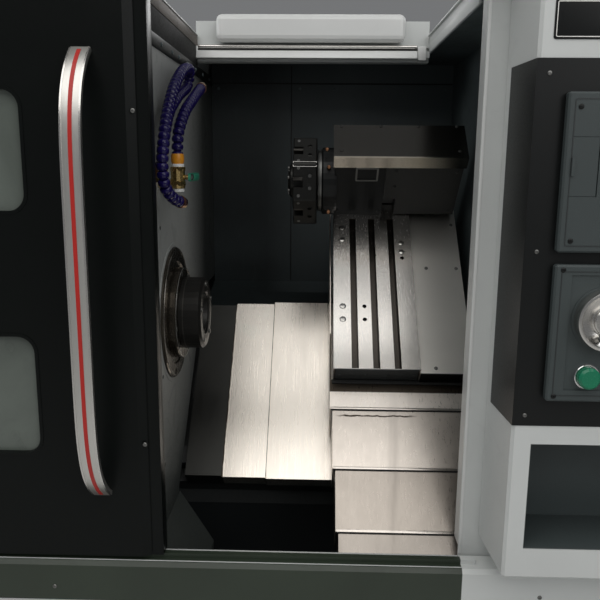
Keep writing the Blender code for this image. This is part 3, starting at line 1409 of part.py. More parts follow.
def make_turret(slant, slide):
    axis = (0.0, TURRET_S, TURRET_N)
    seat = TABLE_TOP + FIT
    right = HOUSING_LEFT + HOUSING_WIDTH
    housing = add(
        "turret_housing",
        block((HOUSING_LEFT, right), (HOUSING_FRONT, SLIDE_BACK), (seat, HOUSING_TOP)),
        BLACK_PAINT,
        slide,
    )
    disc_right = TURRET_LEFT + TURRET_THICK
    ring_left = disc_right + RUN
    hub = [
        (ring_left, 0.0),
        (ring_left, RING_RADIUS - 0.001),
        (ring_left + 0.001, RING_RADIUS),
        (ring_left + RING_WIDTH, RING_RADIUS),
        (ring_left + RING_WIDTH, HUB_RADIUS - 0.003),
        (ring_left + RING_WIDTH + 0.003, HUB_RADIUS),
        (HOUSING_LEFT - FIT, HUB_RADIUS),
        (HOUSING_LEFT - FIT, RING_RADIUS),
        (HOUSING_LEFT + 0.004, RING_RADIUS),
        (HOUSING_LEFT + 0.004, 0.0),
    ]
    fuse(housing, turned(hub, "X", axis, 36))

    index = pivot("turret_axis", axis, slant, slide)
    corner = TURRET_FLAT / math.cos(math.pi / STATIONS)
    outline = []
    for i in range(STATIONS):
        turn = math.tau * (i + 0.5) / STATIONS + math.pi / 4
        outline.append((TURRET_S + corner * math.cos(turn), TURRET_N + corner * math.sin(turn)))
    disc = add("turret_disc", prism(outline, "X", TURRET_LEFT, disc_right), DARK_STEEL, index)
    soften(disc, 0.002, 1)
    boss = [
        (TURRET_LEFT + 0.004, 0.0),
        (TURRET_LEFT + 0.004, TURRET_BOSS),
        (TURRET_LEFT - TURRET_BOSS_OUT + 0.003, TURRET_BOSS),
        (TURRET_LEFT - TURRET_BOSS_OUT, TURRET_BOSS - 0.003),
        (TURRET_LEFT - TURRET_BOSS_OUT, 0.0),
    ]
    fuse(disc, turned(boss, "X", axis, 32))
    slots = []
    screws = []
    for i in range(STATIONS):
        turn = Matrix.Rotation(math.tau * i / STATIONS + math.pi / 4, 4, "X")
        place = Matrix.Translation(axis) @ turn @ Matrix.Translation(-Vector(axis))
        half = STATION_SLOT / 2
        slot = block(
            (TURRET_LEFT - REACH, TURRET_LEFT + STATION_SLOT_DEPTH),
            (TURRET_S + STATION_SLOT_INNER, TURRET_S + corner + REACH),
            (TURRET_N - half, TURRET_N + half),
        )
        bmesh.ops.transform(slot, matrix=place, verts=slot.verts)
        slots.append(slot)
        for side in (-0.5, 0.5):
            x = TURRET_LEFT + TURRET_THICK - 0.014
            centre = (x, 0.0, TURRET_N + side * STATION_SCREW_PITCH)
            hole = rod("Y", centre, TURRET_S + TURRET_FLAT - 0.008, TURRET_S + corner + 0.01, STATION_SCREW, 10)
            bmesh.ops.transform(hole, matrix=place, verts=hole.verts)
            screws.append(hole)
    cut(disc, merged(*slots))
    cut(disc, merged(*screws))

    lip = HOUSING_FRONT - FIT
    top = HOUSING_TOP + FIT
    hood_path = [
        (lip, top + LINER - HOOD_LIP),
        (lip, top),
        (SLIDE_BACK, top),
    ]
    outline = strip(hood_path, LINER)
    add("turret_hood", prism(outline, "X", HOOD_LEFT, HOOD_RIGHT), COVER_STEEL, slide)

    left = right + FIT
    cover = add(
        "turret_motor_cover",
        block((left, MOTOR_COVER_RIGHT), (HOUSING_FRONT, SLIDE_BACK), (MOTOR_COVER_BOTTOM, HOUSING_TOP)),
        COVER_STEEL,
        slide,
    )
    notch = block(
        (left - REACH, left + NOTCH[0]),
        (HOUSING_FRONT - REACH, HOUSING_FRONT + 0.030),
        (MOTOR_COVER_BOTTOM - REACH, MOTOR_COVER_BOTTOM + NOTCH[1]),
    )
    cut(cover, notch)


def bead_radii(count):
    """Radii along a ball-and-socket hose: a neck, then a bead."""
    return [(HOSE_NECK, HOSE_RADIUS)[i % 2] for i in range(count)]


def hose(name, start, points, root_length):
    path = smooth_path([Vector(start) + Vector(point) for point in points], BEAD_PITCH / 2)
    radii = bead_radii(len(path))
    tail = 4
    for i in range(tail):
        radii[-1 - i] = HOSE_RADIUS * (0.55 + 0.45 * i / tail)
    radii[-1] = HOSE_RADIUS * 0.45
    for i in range(root_length):
        radii[i] = HOSE_RADIUS * 1.1
    return add(name, ringed_tube(path, radii, HOSE_SIDES), HOSE_BLUE)


def make_coolant():
    x, y = VALVE_AT
    low, high = VALVE_BOTTOM, VALVE_TOP
    profile = [
        (low, 0.0),
        (low, VALVE_RADIUS),
        (low + 0.006, VALVE_RADIUS),
        (low + 0.008, VALVE_RADIUS * 0.80),
        (low + 0.012, VALVE_RADIUS),
        (high - 0.008, VALVE_RADIUS),
        (high - 0.005, VALVE_RADIUS * 0.82),
        (high, VALVE_RADIUS * 0.82),
        (high, 0.0),
    ]
    valve = add("coolant_valve", turned(profile, "Z", (x, y, 0.0), 12), BRASS)
    stem_out = x + VALVE_RADIUS + 0.006
    fuse(valve, rod("X", (0.0, y, low + 0.008), WALL_X + FIT, x, VALVE_RADIUS * 0.6, 12))
    fuse(valve, rod("X", (0.0, y, LEVER_Z), x, stem_out, 0.004, 12))
    hose("coolant_hose_a", (x, y, high), HOSE_A, 2)
    second = hose("coolant_hose_b", HOSE_B_AT, HOSE_B, 2)
    elbow_x, elbow_y, elbow_z = HOSE_B_AT
    fuse(second, rod("X", (0.0, elbow_y, elbow_z + 0.006), WALL_X + FIT, elbow_x, 0.006, 12))

    turn = pivot("valve_lever_axis", (stem_out, y, LEVER_Z))
    plate = stem_out + FIT
    outline = rounded((y - 0.008, y + LEVER_LENGTH), (LEVER_Z - 0.0065, LEVER_Z + 0.0065), 0.006, 3)
    add("valve_lever", prism(outline, "X", plate, plate + 0.004), LEVER_GREEN, turn)


def make_cabinet():
    start = REAR_Y + FIT
    x, z = CABINET_X, CABINET_Z
    cabinet = add("electrical_cabinet", block(x, (start, CABINET_BACK), z), WHITE_PAINT)
    wall = CABINET_WALL
    room = block((x[0] + wall, x[1] - wall), (start + wall, CABINET_BACK + REACH), (z[0] + wall, z[1] - wall))
    cut(cabinet, room)
    rail = 0.010
    ribs = []
    for level in (0.30, 0.55, 0.80):
        height = z[0] + (z[1] - z[0]) * level
        ribs.append(block((x[0] + wall / 2, x[1] - wall / 2), (start + wall / 2, start + wall + rail), (height, height + 0.035)))
    fuse(cabinet, *ribs)
    front = CABINET_BACK + FIT
    hinge = pivot("cabinet_hinge", (x[1], front, z[0]))
    door = add("cabinet_door", block(x, (front, front + CABINET_DOOR), z), WHITE_PAINT, hinge)
    cut(door, rod("Y", (x[0] + 0.040, 0.0, (z[0] + z[1]) / 2), front + CABINET_DOOR - 0.003, front + CABINET_DOOR + REACH, LATCH_RADIUS, 16))


def main():
    clear_scene()
    slant = pivot("slant_frame", (0.0, 0.0, SLANT_Z))
    slant.rotation_euler = (SLANT, 0.0, 0.0)
    saddle = pivot("saddle_travel", (SADDLE_LEFT, BED_LOW, SADDLE_SHOE), base=slant)
    slide = pivot("cross_travel", (TABLE_LEFT, SLIDE_FRONT, SLIDE_BOTTOM), slant, saddle)
    make_base()
    make_feet()
    make_sill()
    make_tank()
    make_bed(slant)
    make_headstock(slant)
    make_spindle(slant)
    make_drive()
    make_left_wall()
    make_right_wall()
    make_back_wall()
    make_enclosure()
    make_front()
    make_beam()
    make_pod()
    make_controls()
    make_door()
    middle = make_saddle(slant, saddle)
    make_screws(slant, saddle, middle)
    make_slide(slide, middle)
    make_turret(slant, slide)
    make_covers(slant, saddle, slide)
    make_coolant()
    make_cabinet()


main()
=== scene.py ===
import math

import bmesh
import bpy
from mathutils import Matrix, Vector


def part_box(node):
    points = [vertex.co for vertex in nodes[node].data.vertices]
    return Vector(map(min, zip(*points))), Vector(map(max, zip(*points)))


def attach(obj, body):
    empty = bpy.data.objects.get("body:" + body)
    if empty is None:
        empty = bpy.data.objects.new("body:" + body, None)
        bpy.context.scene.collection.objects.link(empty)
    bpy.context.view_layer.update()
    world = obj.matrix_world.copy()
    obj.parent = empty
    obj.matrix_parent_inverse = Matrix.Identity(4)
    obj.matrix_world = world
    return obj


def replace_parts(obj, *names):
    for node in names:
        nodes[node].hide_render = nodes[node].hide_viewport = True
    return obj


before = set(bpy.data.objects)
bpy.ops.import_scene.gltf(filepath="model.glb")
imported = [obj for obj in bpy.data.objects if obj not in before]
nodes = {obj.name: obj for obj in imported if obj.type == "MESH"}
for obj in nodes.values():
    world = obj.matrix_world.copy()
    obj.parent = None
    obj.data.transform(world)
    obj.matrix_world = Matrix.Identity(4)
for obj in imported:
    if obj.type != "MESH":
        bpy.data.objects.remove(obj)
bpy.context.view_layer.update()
print("frame loaded")

slant = math.radians(45.0)
slantTurn = Matrix.Rotation(slant, 4, "X")
diagonal = math.sqrt(0.5)

# Softness of a painted edge, and the usual specular, grime and brushing of a look
crisp = 0.0008
satin = dict(rough=0.42, grain=420, mottle=0.04, dirt=0.08)
wallBlack = dict(specular=0.35, grain=400, mottle=0.35, scratch=0.10, stretch=(1.0, 1.0, 0.15))

# Everything a user may want to change about each material. Zones are boxes with another colour: stains, painted
# shade and painted light.
looks = {
    "whitePaint": dict(colour=(0.66, 0.68, 0.67), **satin),
    # the base frame's white paint; its chip well inside the enclosure is painted near black as painted shade
    "basePaintShadedWell": dict(
        colour=(0.66, 0.68, 0.67), **satin,
        zones=[dict(low=(-0.392, -0.5485, 0.06), high=(0.392, 0.100, 0.736), colour=(0.010, 0.012, 0.013))]),
    # the headstock wall's white paint is given darker as painted shade, and darker still towards the bottom and
    # towards the back as painted shadow
    "shadedWallPaint": dict(
        colour=(0.34, 0.35, 0.34), rough=0.45, grain=300, mottle=0.08, dirt=0.25,
        zones=[dict(low=(-0.30, -0.60, 0.20), high=(-0.10, 0.50, 1.13), colour=(0.050, 0.057, 0.053),
                    soft=(crisp, crisp, 0.33)),
               dict(low=(-0.30, -0.22, 0.88), high=(-0.10, 0.60, 1.80), colour=(0.034, 0.038, 0.036),
                    soft=(crisp, 0.24, 0.12))]),
    "blackPaint": dict(colour=(0.0065, 0.0075, 0.0075), rough=0.36, specular=0.30, dirt=0.05),
    "doorBlack": dict(colour=(0.0040, 0.0052, 0.0048), rough=0.34, specular=0.16, dirt=0.05),
    "sideBlack": dict(colour=(0.090, 0.112, 0.116), rough=0.50, **wallBlack),
    # the black back wall, painted lighter towards its right end as painted light
    "backBlackLitRight": dict(
        colour=(0.015, 0.020, 0.021), rough=0.45, **wallBlack,
        zones=[dict(low=(-0.10, 0.10, 0.90), high=(0.60, 0.30, 1.70), colour=(0.085, 0.102, 0.106),
                    soft=(0.20, crisp, crisp))]),
    "sillPaint": dict(
        colour=(0.030, 0.042, 0.028), rough=0.38, grain=350, mottle=0.12, dirt=0.12,
        zones=[dict(low=(0.2585, -0.70, 0.50), high=(1.0, 0.10, 0.90), colour=(0.66, 0.68, 0.67))]),
    "olivePaint": dict(colour=(0.036, 0.048, 0.034), rough=0.38, grain=350, mottle=0.12, dirt=0.12),
    "castPaint": dict(colour=(0.20, 0.22, 0.22), rough=0.60, grain=160, bump=0.20, dirt=0.20),
    "bedPaint": dict(colour=(0.030, 0.033, 0.033), rough=0.55, grain=160, bump=0.15, mottle=0.15, dirt=0.20),
    # ground steel of the table, with the insides of its T-slots painted dark as painted shade
    "tableSteelShadedSlots": dict(
        colour=(0.99, 0.95, 0.90), rough=0.24, metallic=1.0, grain=900, mottle=0.04, dirt=0.05,
        stretch=(1.0, 0.10, 1.0), turned=True,
        zones=[dict(low=(0.0615, 0.470, 0.900), high=(0.2185, 0.880, 0.9817), colour=(0.085, 0.076, 0.066))]),
    "coverSteelZ": dict(colour=(0.98, 0.91, 0.82), rough=0.29, metallic=1.0, grain=900, mottle=0.06,
                        scratch=0.05, stretch=(1.0, 0.02, 1.0), turned=True),
    # steel of the fixed bed cover, painted dark as painted shade
    "shadedFixedCoverSteel": dict(colour=(0.060, 0.060, 0.056), rough=0.34, metallic=0.9, grain=700, mottle=0.15,
                            dirt=0.15, stretch=(1.0, 0.04, 1.0), turned=True),
    "coverSteelX": dict(colour=(0.66, 0.61, 0.56), rough=0.30, metallic=1.0, grain=800, mottle=0.14,
                        dirt=0.16,
                        scratch=0.06, stretch=(1.0, 0.10, 1.0), turned=True),
    # the hood's steel is painted dark as painted shade; its front lip is painted bright as a painted highlight,
    # fading to the right as painted shadow
    "hoodSteelPaintedLight": dict(
        colour=(0.115, 0.110, 0.100), rough=0.22, metallic=1.0, grain=900, bump=0.02, mottle=0.06, dirt=0.06,
        stretch=(0.10, 1.0, 1.0), turned=True,
        zones=[dict(low=(-0.10, 0.80, 1.10), high=(0.30, 0.8695, 1.20), colour=(0.95, 0.86, 0.72),
                    soft=(0.08, crisp, crisp))]),
    # the side cover's steel, with its lower end painted near black as painted shade
    "sideCoverSteelShadedEnd": dict(
        colour=(0.98, 0.95, 0.89), rough=0.34, metallic=1.0, grain=900, bump=0.01, mottle=0.03, dirt=0.0,
        turned=True,
        zones=[dict(low=(0.20, 0.40, 0.90), high=(0.40, 0.4965, 1.00), colour=(0.020, 0.022, 0.022))]),
    "motorCoverPaint": dict(colour=(0.042, 0.042, 0.040), rough=0.38, metallic=0.3, mottle=0.2, dirt=0.15,
                            scratch=0.10, stretch=(1.0, 0.06, 1.0), turned=True),
    "darkSteel": dict(colour=(0.080, 0.076, 0.068), rough=0.34, metallic=0.85, grain=600, bump=0.04,
                      mottle=0.30,
                      dirt=0.15, scratch=0.10),
    "flangeBronze": dict(colour=(0.110, 0.096, 0.078), rough=0.25, metallic=0.9, grain=600, mottle=0.20,
                         dirt=0.12, scratch=0.05),
    "noseSteel": dict(colour=(0.026, 0.025, 0.023), rough=0.42, metallic=0.7, mottle=0.25, scratch=0.06),
    "turretSteel": dict(colour=(0.032, 0.032, 0.030), rough=0.34, metallic=0.85, bump=0.04, mottle=0.25,
                        dirt=0.20, scratch=0.12),
    "brightSteel": dict(colour=(0.72, 0.70, 0.67), rough=0.22, metallic=1.0, grain=600, bump=0.02, dirt=0.05),
    "chrome": dict(colour=(0.82, 0.82, 0.82), rough=0.10, metallic=1.0, grain=600, bump=0.01, mottle=0.04,
                   dirt=0.03),
    "screwSteel": dict(colour=(0.22, 0.22, 0.21), rough=0.35, metallic=0.9, grain=800, mottle=0.2),
    "aluminium": dict(colour=(0.70, 0.685, 0.65), rough=0.34, metallic=0.95, grain=900, bump=0.04,
                      mottle=0.05,
                      dirt=0.05, scratch=0.1, stretch=(1.0, 1.0, 0.02)),
    "brass": dict(colour=(0.62, 0.45, 0.19), rough=0.28, metallic=1.0, mottle=0.2, dirt=0.15),
    "copper": dict(colour=(0.34, 0.17, 0.09), rough=0.30, metallic=0.9, mottle=0.15),
    "orangePlastic": dict(colour=(0.75, 0.30, 0.02), rough=0.35, bump=0.02, mottle=0.08, dirt=0.08),
    "hosePlastic": dict(colour=(0.010, 0.006, 0.070), rough=0.16, specular=0.35, bump=0.02, mottle=0.12,
                        dirt=0.06),
    "leverPlastic": dict(colour=(0.03, 0.26, 0.16), rough=0.42),
    "buttonGreen": dict(colour=(0.008, 0.20, 0.10), rough=0.25, bump=0.01, mottle=0.05, dirt=0.02),
    "stopRed": dict(colour=(0.55, 0.012, 0.008), rough=0.28, bump=0.01, mottle=0.05, dirt=0.04),
    "stopYellow": dict(colour=(0.75, 0.50, 0.02), rough=0.40, bump=0.01, mottle=0.05, dirt=0.06),
    "unitGrey": dict(colour=(0.050, 0.063, 0.064), rough=0.50, grain=700, bump=0.08, mottle=0.08, dirt=0.05),
    "keyGrey": dict(colour=(0.30, 0.31, 0.31), rough=0.50, grain=600, mottle=0.08, dirt=0.08),
    "keyDark": dict(colour=(0.03, 0.035, 0.036), rough=0.45, grain=600, mottle=0.08, dirt=0.05),
    "rubber": dict(colour=(0.012, 0.012, 0.012), rough=0.75, grain=300, bump=0.08, mottle=0.2, dirt=0.15),
    "beltRubber": dict(colour=(0.018, 0.017, 0.016), rough=0.8, grain=250, bump=0.1, mottle=0.2, dirt=0.2),
    "stripeRed": dict(colour=(0.50, 0.02, 0.015), rough=0.4, bump=0.01, mottle=0.08, dirt=0.05),
    "smokedWindow": dict(colour=(0.120, 0.138, 0.122), rough=0.20, grain=40, bump=0.01, mottle=0.25,
                         dirt=0.2),
    "screenGlass": dict(colour=(0.006, 0.008, 0.010), rough=0.08, grain=300, bump=0.002, dirt=0.05),
    "brownSeal": dict(colour=(0.12, 0.10, 0.085), rough=0.6, grain=300, bump=0.05, mottle=0.2, dirt=0.2),
    "lampWhite": dict(colour=(0.82, 0.83, 0.82), rough=0.35, grain=300, bump=0.01, mottle=0.03, dirt=0.04),
}
# the plates of the cross cover are lit and shaded copies of one steel: the front plate is painted lighter as
# painted light, the lower ones darker as painted shade
for name, colour in (
    ("coverSteelFront", (0.92, 0.85, 0.78)), ("coverSteelUpper", (0.63, 0.575, 0.52)),
    ("coverSteelLower", (0.37, 0.333, 0.296)), ("coverSteelBase", (0.32, 0.29, 0.26)),
):
    looks[name] = dict(looks["coverSteelX"], colour=colour)
# oil and chips gather along some of the covers' edges; on the cross cover's front plate the same dark colour is
# painted shade next to the table's front end
stainAndShade = (0.058, 0.048, 0.038)
for name, base, low, high, wobble, soft in (
    ("coverSteelUpper", "coverSteelUpper", (0.062, 0.4245, 0.80), (0.215, 0.4280, 1.00), 0.0030,
     (0.020, 0.0006, crisp)),
    ("coverSteelFront", "coverSteelFront", (0.040, 0.4720, 0.80), (0.320, 0.600, 1.00), 0.0,
     (crisp, 0.0020, crisp)),
    ("coverSteelLower", "coverSteelLower", (0.066, 0.2178, 0.80), (0.290, 0.2212, 1.00), 0.0026,
     (0.010, 0.0006, crisp)),
    ("coverSteelInner", "coverSteelZ", (-0.160, 0.300, 0.70), (-0.1487, 0.800, 1.00), 0.0016,
     (0.0005, crisp, crisp)),
    ("coverSteelOuter", "coverSteelZ", (-0.070, 0.300, 0.70), (-0.0649, 0.800, 1.00), 0.0010,
     (0.0005, crisp, crisp)),
):
    looks[name] = dict(looks[base], zones=[dict(low=low, high=high, colour=stainAndShade, soft=soft, wobble=wobble)])

# Scale of each noise, and the height of the grain
texture = dict(mottle=5.5, grime=17.0, pale=95.0, dark=60.0, stainAndShade=70.0, lift=0.0004)


# Mottling, grain, grime and scratches come from noises in object coordinates
def makeMaterial(name, colour, rough, metallic=0.0, grain=500, bump=0.03, mottle=0.1, dirt=0.1, scratch=0.0,
                 stretch=(1.0, 1.0, 1.0), turned=False, specular=0.5, zones=()):
    made = bpy.data.materials.new(name)
    made.use_nodes = True
    tree = made.node_tree
    tree.nodes.clear()

    def add(kind, values, **settings):
        node = tree.nodes.new("ShaderNode" + kind)
        for key, value in settings.items():
            setattr(node, key, value)
        for key, value in values.items():
            if isinstance(value, bpy.types.NodeSocket):
                tree.links.new(value, node.inputs[key])
            else:
                node.inputs[key].default_value = value
        return node.outputs

    def noise(scale, detail, source, distort=0.0):
        return add("TexNoise", {"Scale": scale, "Detail": detail, "Distortion": distort, "Vector": source})

    def ramp(source, low, high, first=0.0, last=1.0):
        values = {"From Min": low, "From Max": high, "To Min": first, "To Max": last, "Value": source}
        return add("MapRange", values)[0]

    def blend(factor, first, second):
        return add("Mix", {0: factor, 6: first, 7: second}, data_type="RGBA")[2]

    rotation = (-slant if turned else 0.0, 0.0, 0.0)
    turn = add("Mapping", {"Vector": add("TexCoord", {})["Object"], "Rotation": rotation})[0]
    draw = add("Mapping", {"Vector": turn, "Scale": stretch})[0]
    tone = ramp(noise(texture["mottle"], 5.0, turn, 0.6)["Fac"], 0.30, 0.70, 1.0 - mottle, 1.0 + mottle)
    shade = add("VectorMath", {0: colour, "Scale": tone}, operation="SCALE")[0]
    fine = noise(grain, 3.0, draw)["Fac"]
    roughness = ramp(fine, 0.25, 0.75, rough * 0.85, rough * 1.18)
    if dirt > 0.0:
        spots = ramp(noise(texture["grime"], 9.0, draw, 1.2)["Fac"], 0.56, 0.74, 0.0, dirt)
        shade = blend(spots, shade, (*[0.32 * channel + 0.012 for channel in colour], 1.0))
        roughness = add("Math", {0: spots, 1: 0.5, 2: roughness}, operation="MULTIPLY_ADD")[0]
    if scratch > 0.0:
        thin = ramp(noise(texture["pale"], 2.0, draw, 0.3)["Fac"], 0.60, 0.68, 0.0, scratch)
        shade = blend(thin, shade, (*[min(1.0, 1.5 * channel + 0.03) for channel in colour], 1.0))
        dark = ramp(noise(texture["dark"], 2.0, draw, 0.2)["Fac"], 0.62, 0.70, 0.0, scratch)
        shade = blend(dark, shade, (*[0.45 * channel for channel in colour], 1.0))
    for zone in zones:
        # the edges of a zone are soft, or wander where oil has run
        soft = zone.get("soft", (crisp,) * 3)
        wobble = zone.get("wobble", 0.0)
        wander = noise(texture["stainAndShade"], 4.0, turn)["Color"]
        moved = add("VectorMath", {0: wander, 1: (2.0 * wobble,) * 3, 2: turn}, operation="MULTIPLY_ADD")[0]
        centred = add("VectorMath", {0: moved, 1: (wobble,) * 3}, operation="SUBTRACT")[0]
        split = add("SeparateXYZ", {0: centred})
        inside = 1.0
        for axis in range(3):
            for edge, sign in ((zone["low"][axis], 1.0), (zone["high"][axis], -1.0)):
                step = ramp(split[axis], edge, edge + soft[axis] * sign)
                inside = add("Math", {0: inside, 1: step}, operation="MULTIPLY")[0]
        shade = blend(inside, shade, (*zone["colour"], 1.0))
    lift = add("Bump", {"Strength": min(1.0, bump * 4.0), "Distance": texture["lift"], "Height": fine})[0]
    shader = add("BsdfPrincipled", {
        "Base Color": shade, "Roughness": roughness, "Metallic": metallic, "Specular IOR Level": specular,
        "Normal": lift,
    })
    add("OutputMaterial", {0: shader[0]})
    return made


materials = {name: makeMaterial(name, **look) for name, look in looks.items()}
print("materials made")

# The solids that wear each look
lookNodes = {
    "whitePaint": "left_enclosure right_enclosure rear_enclosure front_frame rear_beam control_pod "
                  "electrical_cabinet cabinet_door",
    "basePaintShadedWell": "base_frame",
    "shadedWallPaint": "headstock_wall",
    "lampWhite": "beam_cover",
    "sillPaint": "sill_guide",
    "olivePaint": "coolant_tank",
    "bedPaint": "bed_casting",
    "castPaint": "headstock spindle_motor saddle",
    "darkSteel": "levelling_foot_1 levelling_foot_2 levelling_foot_3 levelling_foot_4 motor_pulley",
    "beltRubber": "drive_belt",
    "flangeBronze": "spindle_flange",
    "noseSteel": "spindle",
    "sideBlack": "right_wall",
    "backBlackLitRight": "back_wall",
    "blackPaint": "control_inset z_motor x_motor turret_housing",
    "unitGrey": "display_unit operator_panel card_flap",
    "buttonGreen": "start_button",
    "stopRed": "emergency_stop",
    "chrome": "handwheel",
    "doorBlack": "door_panel",
    "smokedWindow": "door_window_upper door_window_lower",
    "aluminium": "door_handle",
    "brightSteel": "z_screw x_screw",
    "tableSteelShadedSlots": "cross_slide",
    "sideCoverSteelShadedEnd": "slide_side_cover",
    "turretSteel": "turret_disc",
    "hoodSteelPaintedLight": "turret_hood",
    "motorCoverPaint": "turret_motor_cover",
    "shadedFixedCoverSteel": "z_cover_fixed",
    "coverSteelInner": "z_cover_inner",
    "coverSteelOuter": "z_cover_outer",
    "coverSteelZ": "z_cover_right",
    "coverSteelFront": "x_cover_front",
    "coverSteelUpper": "x_cover_upper",
    "coverSteelLower": "x_cover_lower",
    "coverSteelBase": "x_cover_base",
    "brass": "coolant_valve",
    "hosePlastic": "coolant_hose_a coolant_hose_b",
    "leverPlastic": "valve_lever",
}


# A geometry node group, with the identifiers of its inputs. Its nodes are named "in", "out" and so on.
def makeGroup(name, inputs, kinds, settings, wires):
    group = bpy.data.node_groups.new(name, "GeometryNodeTree")
    group.interface.new_socket("Geometry", in_out="INPUT", socket_type="NodeSocketGeometry")
    sockets = {}
    for label, kind in inputs.items():
        made = group.interface.new_socket(label, in_out="INPUT", socket_type="NodeSocket" + kind)
        sockets[label] = made.identifier
    group.interface.new_socket("Geometry", in_out="OUTPUT", socket_type="NodeSocketGeometry")
    made = {"in": group.nodes.new("NodeGroupInput"), "out": group.nodes.new("NodeGroupOutput")}
    for key, kind in kinds.items():
        made[key] = group.nodes.new(kind)
        for label, value in settings.get(key, {}).items():
            setattr(made[key], label, value)
    for source, output, target, socket in wires:
        group.links.new(made[source].outputs[output], made[target].inputs[socket])
    return group, sockets, made


shadeGroup, shadeSockets, _ = makeGroup(
    "shadeByAngle",
    {"Angle": "Float"},
    dict(angle="GeometryNodeInputMeshEdgeAngle", small="FunctionNodeCompare",
         faces="GeometryNodeSetShadeSmooth",
         edges="GeometryNodeSetShadeSmooth"),
    dict(small=dict(data_type="FLOAT", operation="LESS_THAN"), faces=dict(domain="FACE"),
         edges=dict(domain="EDGE")),
    [("in", "Geometry", "faces", "Geometry"), ("faces", 0, "edges", "Geometry"),
     ("angle", "Unsigned Angle", "small", 0), ("in", "Angle", "small", 1),
     ("small", 0, "edges", "Shade Smooth"),
     ("edges", 0, "out", 0)],
)
smoothBelow = dict(solids=33.0, pieces=35.0, bars=50.0)

for look, names in lookNodes.items():
    for name in names.split():
        node = nodes[name]
        node.data.materials.clear()
        node.data.materials.append(materials[look])
        modifier = node.modifiers.new("shade", "NODES")
        modifier.node_group = shadeGroup
        modifier[shadeSockets["Angle"]] = math.radians(smoothBelow["solids"])
print("solids dressed")


# Shapes

def slantPoint(x, s, n):
    return Vector((x, (s - n) * diagonal, (s + n) * diagonal))


def join(*forms):
    whole = bmesh.new()
    for form in forms:
        mesh = bpy.data.meshes.new("form")
        form.to_mesh(mesh)
        form.free()
        whole.from_mesh(mesh)
        bpy.data.meshes.remove(mesh)
    return whole


def bevelled(form, edge, segments=2, limit=40.0):
    sharp = [e for e in form.edges if len(e.link_faces) == 2 and e.calc_face_angle(0.0) > math.radians(limit)]
    bmesh.ops.bevel(form, geom=sharp, offset=edge, segments=segments, profile=0.5, affect="EDGES",
                    clamp_overlap=True)
    return form


def tilted(form):
    bmesh.ops.transform(form, matrix=slantTurn, verts=form.verts)
    return form


def finished(form, slanted=False, edge=0.0):
    bmesh.ops.recalc_face_normals(form, faces=form.faces)
    if edge:
        bevelled(form, edge)
    return tilted(form) if slanted else form


def box(x, y, z, edge=0.0):
    form = bmesh.new()
    low = Vector((min(x), min(y), min(z)))
    high = Vector((max(x), max(y), max(z)))
    bmesh.ops.create_cube(form, size=1.0, matrix=Matrix.LocRotScale((low + high) / 2, None, high - low))
    return bevelled(form, edge) if edge else form


def slantBox(x, s, n, edge=0.0):
    return tilted(box(x, s, n, edge))


def rectangle(across, up):
    return [(across[0], up[0]), (across[1], up[0]), (across[1], up[1]), (across[0], up[1])]


# Joins rings of points. A ring of one point is the tip of a cone.
def skin(form, rings, closed=False, capped=False):
    steps = max(len(ring) for ring in rings)
    for a, b in zip(rings, rings[1:] + (rings[:1] if closed else [])):
        for k in range(steps):
            after = (k + 1) % steps
            corners = (a[k % len(a)], a[after % len(a)], b[after % len(b)], b[k % len(b)])
            form.faces.new(list(dict.fromkeys(corners)))
    if capped:
        form.faces.new(rings[0][::-1])
        form.faces.new(rings[-1])
    return form


# Where the two values of an outline and its depth go, for a section along each axis
orders = {"X": (2, 0, 1), "Y": (0, 2, 1), "Z": (0, 1, 2)}


def outlineRing(form, outline, depth, along):
    return [form.verts.new([(*point, depth)[i] for i in orders[along]]) for point in outline]


def prism(outline, along, start, end, edge=0.0, slanted=False):
    form = bmesh.new()
    face = form.faces.new(outlineRing(form, outline, start, along))
    step = Vector([(0.0, 0.0, end - start)[i] for i in orders[along]])
    grown = bmesh.ops.extrude_face_region(form, geom=[face])
    moved = [part for part in grown["geom"] if isinstance(part, bmesh.types.BMVert)]
    bmesh.ops.translate(form, vec=step, verts=moved)
    return finished(form, slanted, edge)


# The profile gives the place on the axis and the radius
def turnedForm(profile, axis, centre, steps=48, closed=False, slanted=False):
    along = "XYZ".index(axis)
    across = [i for i in range(3) if i != along]
    form = bmesh.new()
    rings = []
    for place, radius in profile:
        ring = []
        for k in range(steps if radius > 0.0 else 1):
            point = list(centre)
            point[along] = place
            point[across[0]] += radius * math.cos(math.tau * k / steps)
            point[across[1]] += radius * math.sin(math.tau * k / steps)
            ring.append(form.verts.new(point))
        rings.append(ring)
    return finished(skin(form, rings, closed), slanted)


def slantRing(centre, start, end, outer, inner, steps):
    profile = [(start, outer), (end, outer), (end, inner), (start, inner)]
    return turnedForm(profile, "X", centre, steps, True, True)


def discForm(axis, centre, start, end, radius, edge=0.0, steps=40, slanted=False):
    sign = 1.0 if end > start else -1.0
    profile = [(start, 0.0), (start, radius), (end - sign * edge, radius)]
    if edge:
        profile += [(end - sign * edge * 0.3, radius - edge * 0.3), (end, radius - edge)]
    profile.append((end, 0.0))
    return turnedForm(profile, axis, centre, steps, slanted=slanted)


def roundedOutline(x, z, radius, steps=8):
    outline = []
    for cx, cz, quarter in ((x[1], z[1], 0), (x[0], z[1], 1), (x[0], z[0], 2), (x[1], z[0], 3)):
        mx = cx - radius if cx == x[1] else cx + radius
        mz = cz - radius if cz == z[1] else cz + radius
        for i in range(steps + 1):
            turn = math.pi / 2 * (quarter + i / steps)
            outline.append((mx + radius * math.cos(turn), mz + radius * math.sin(turn)))
    return outline


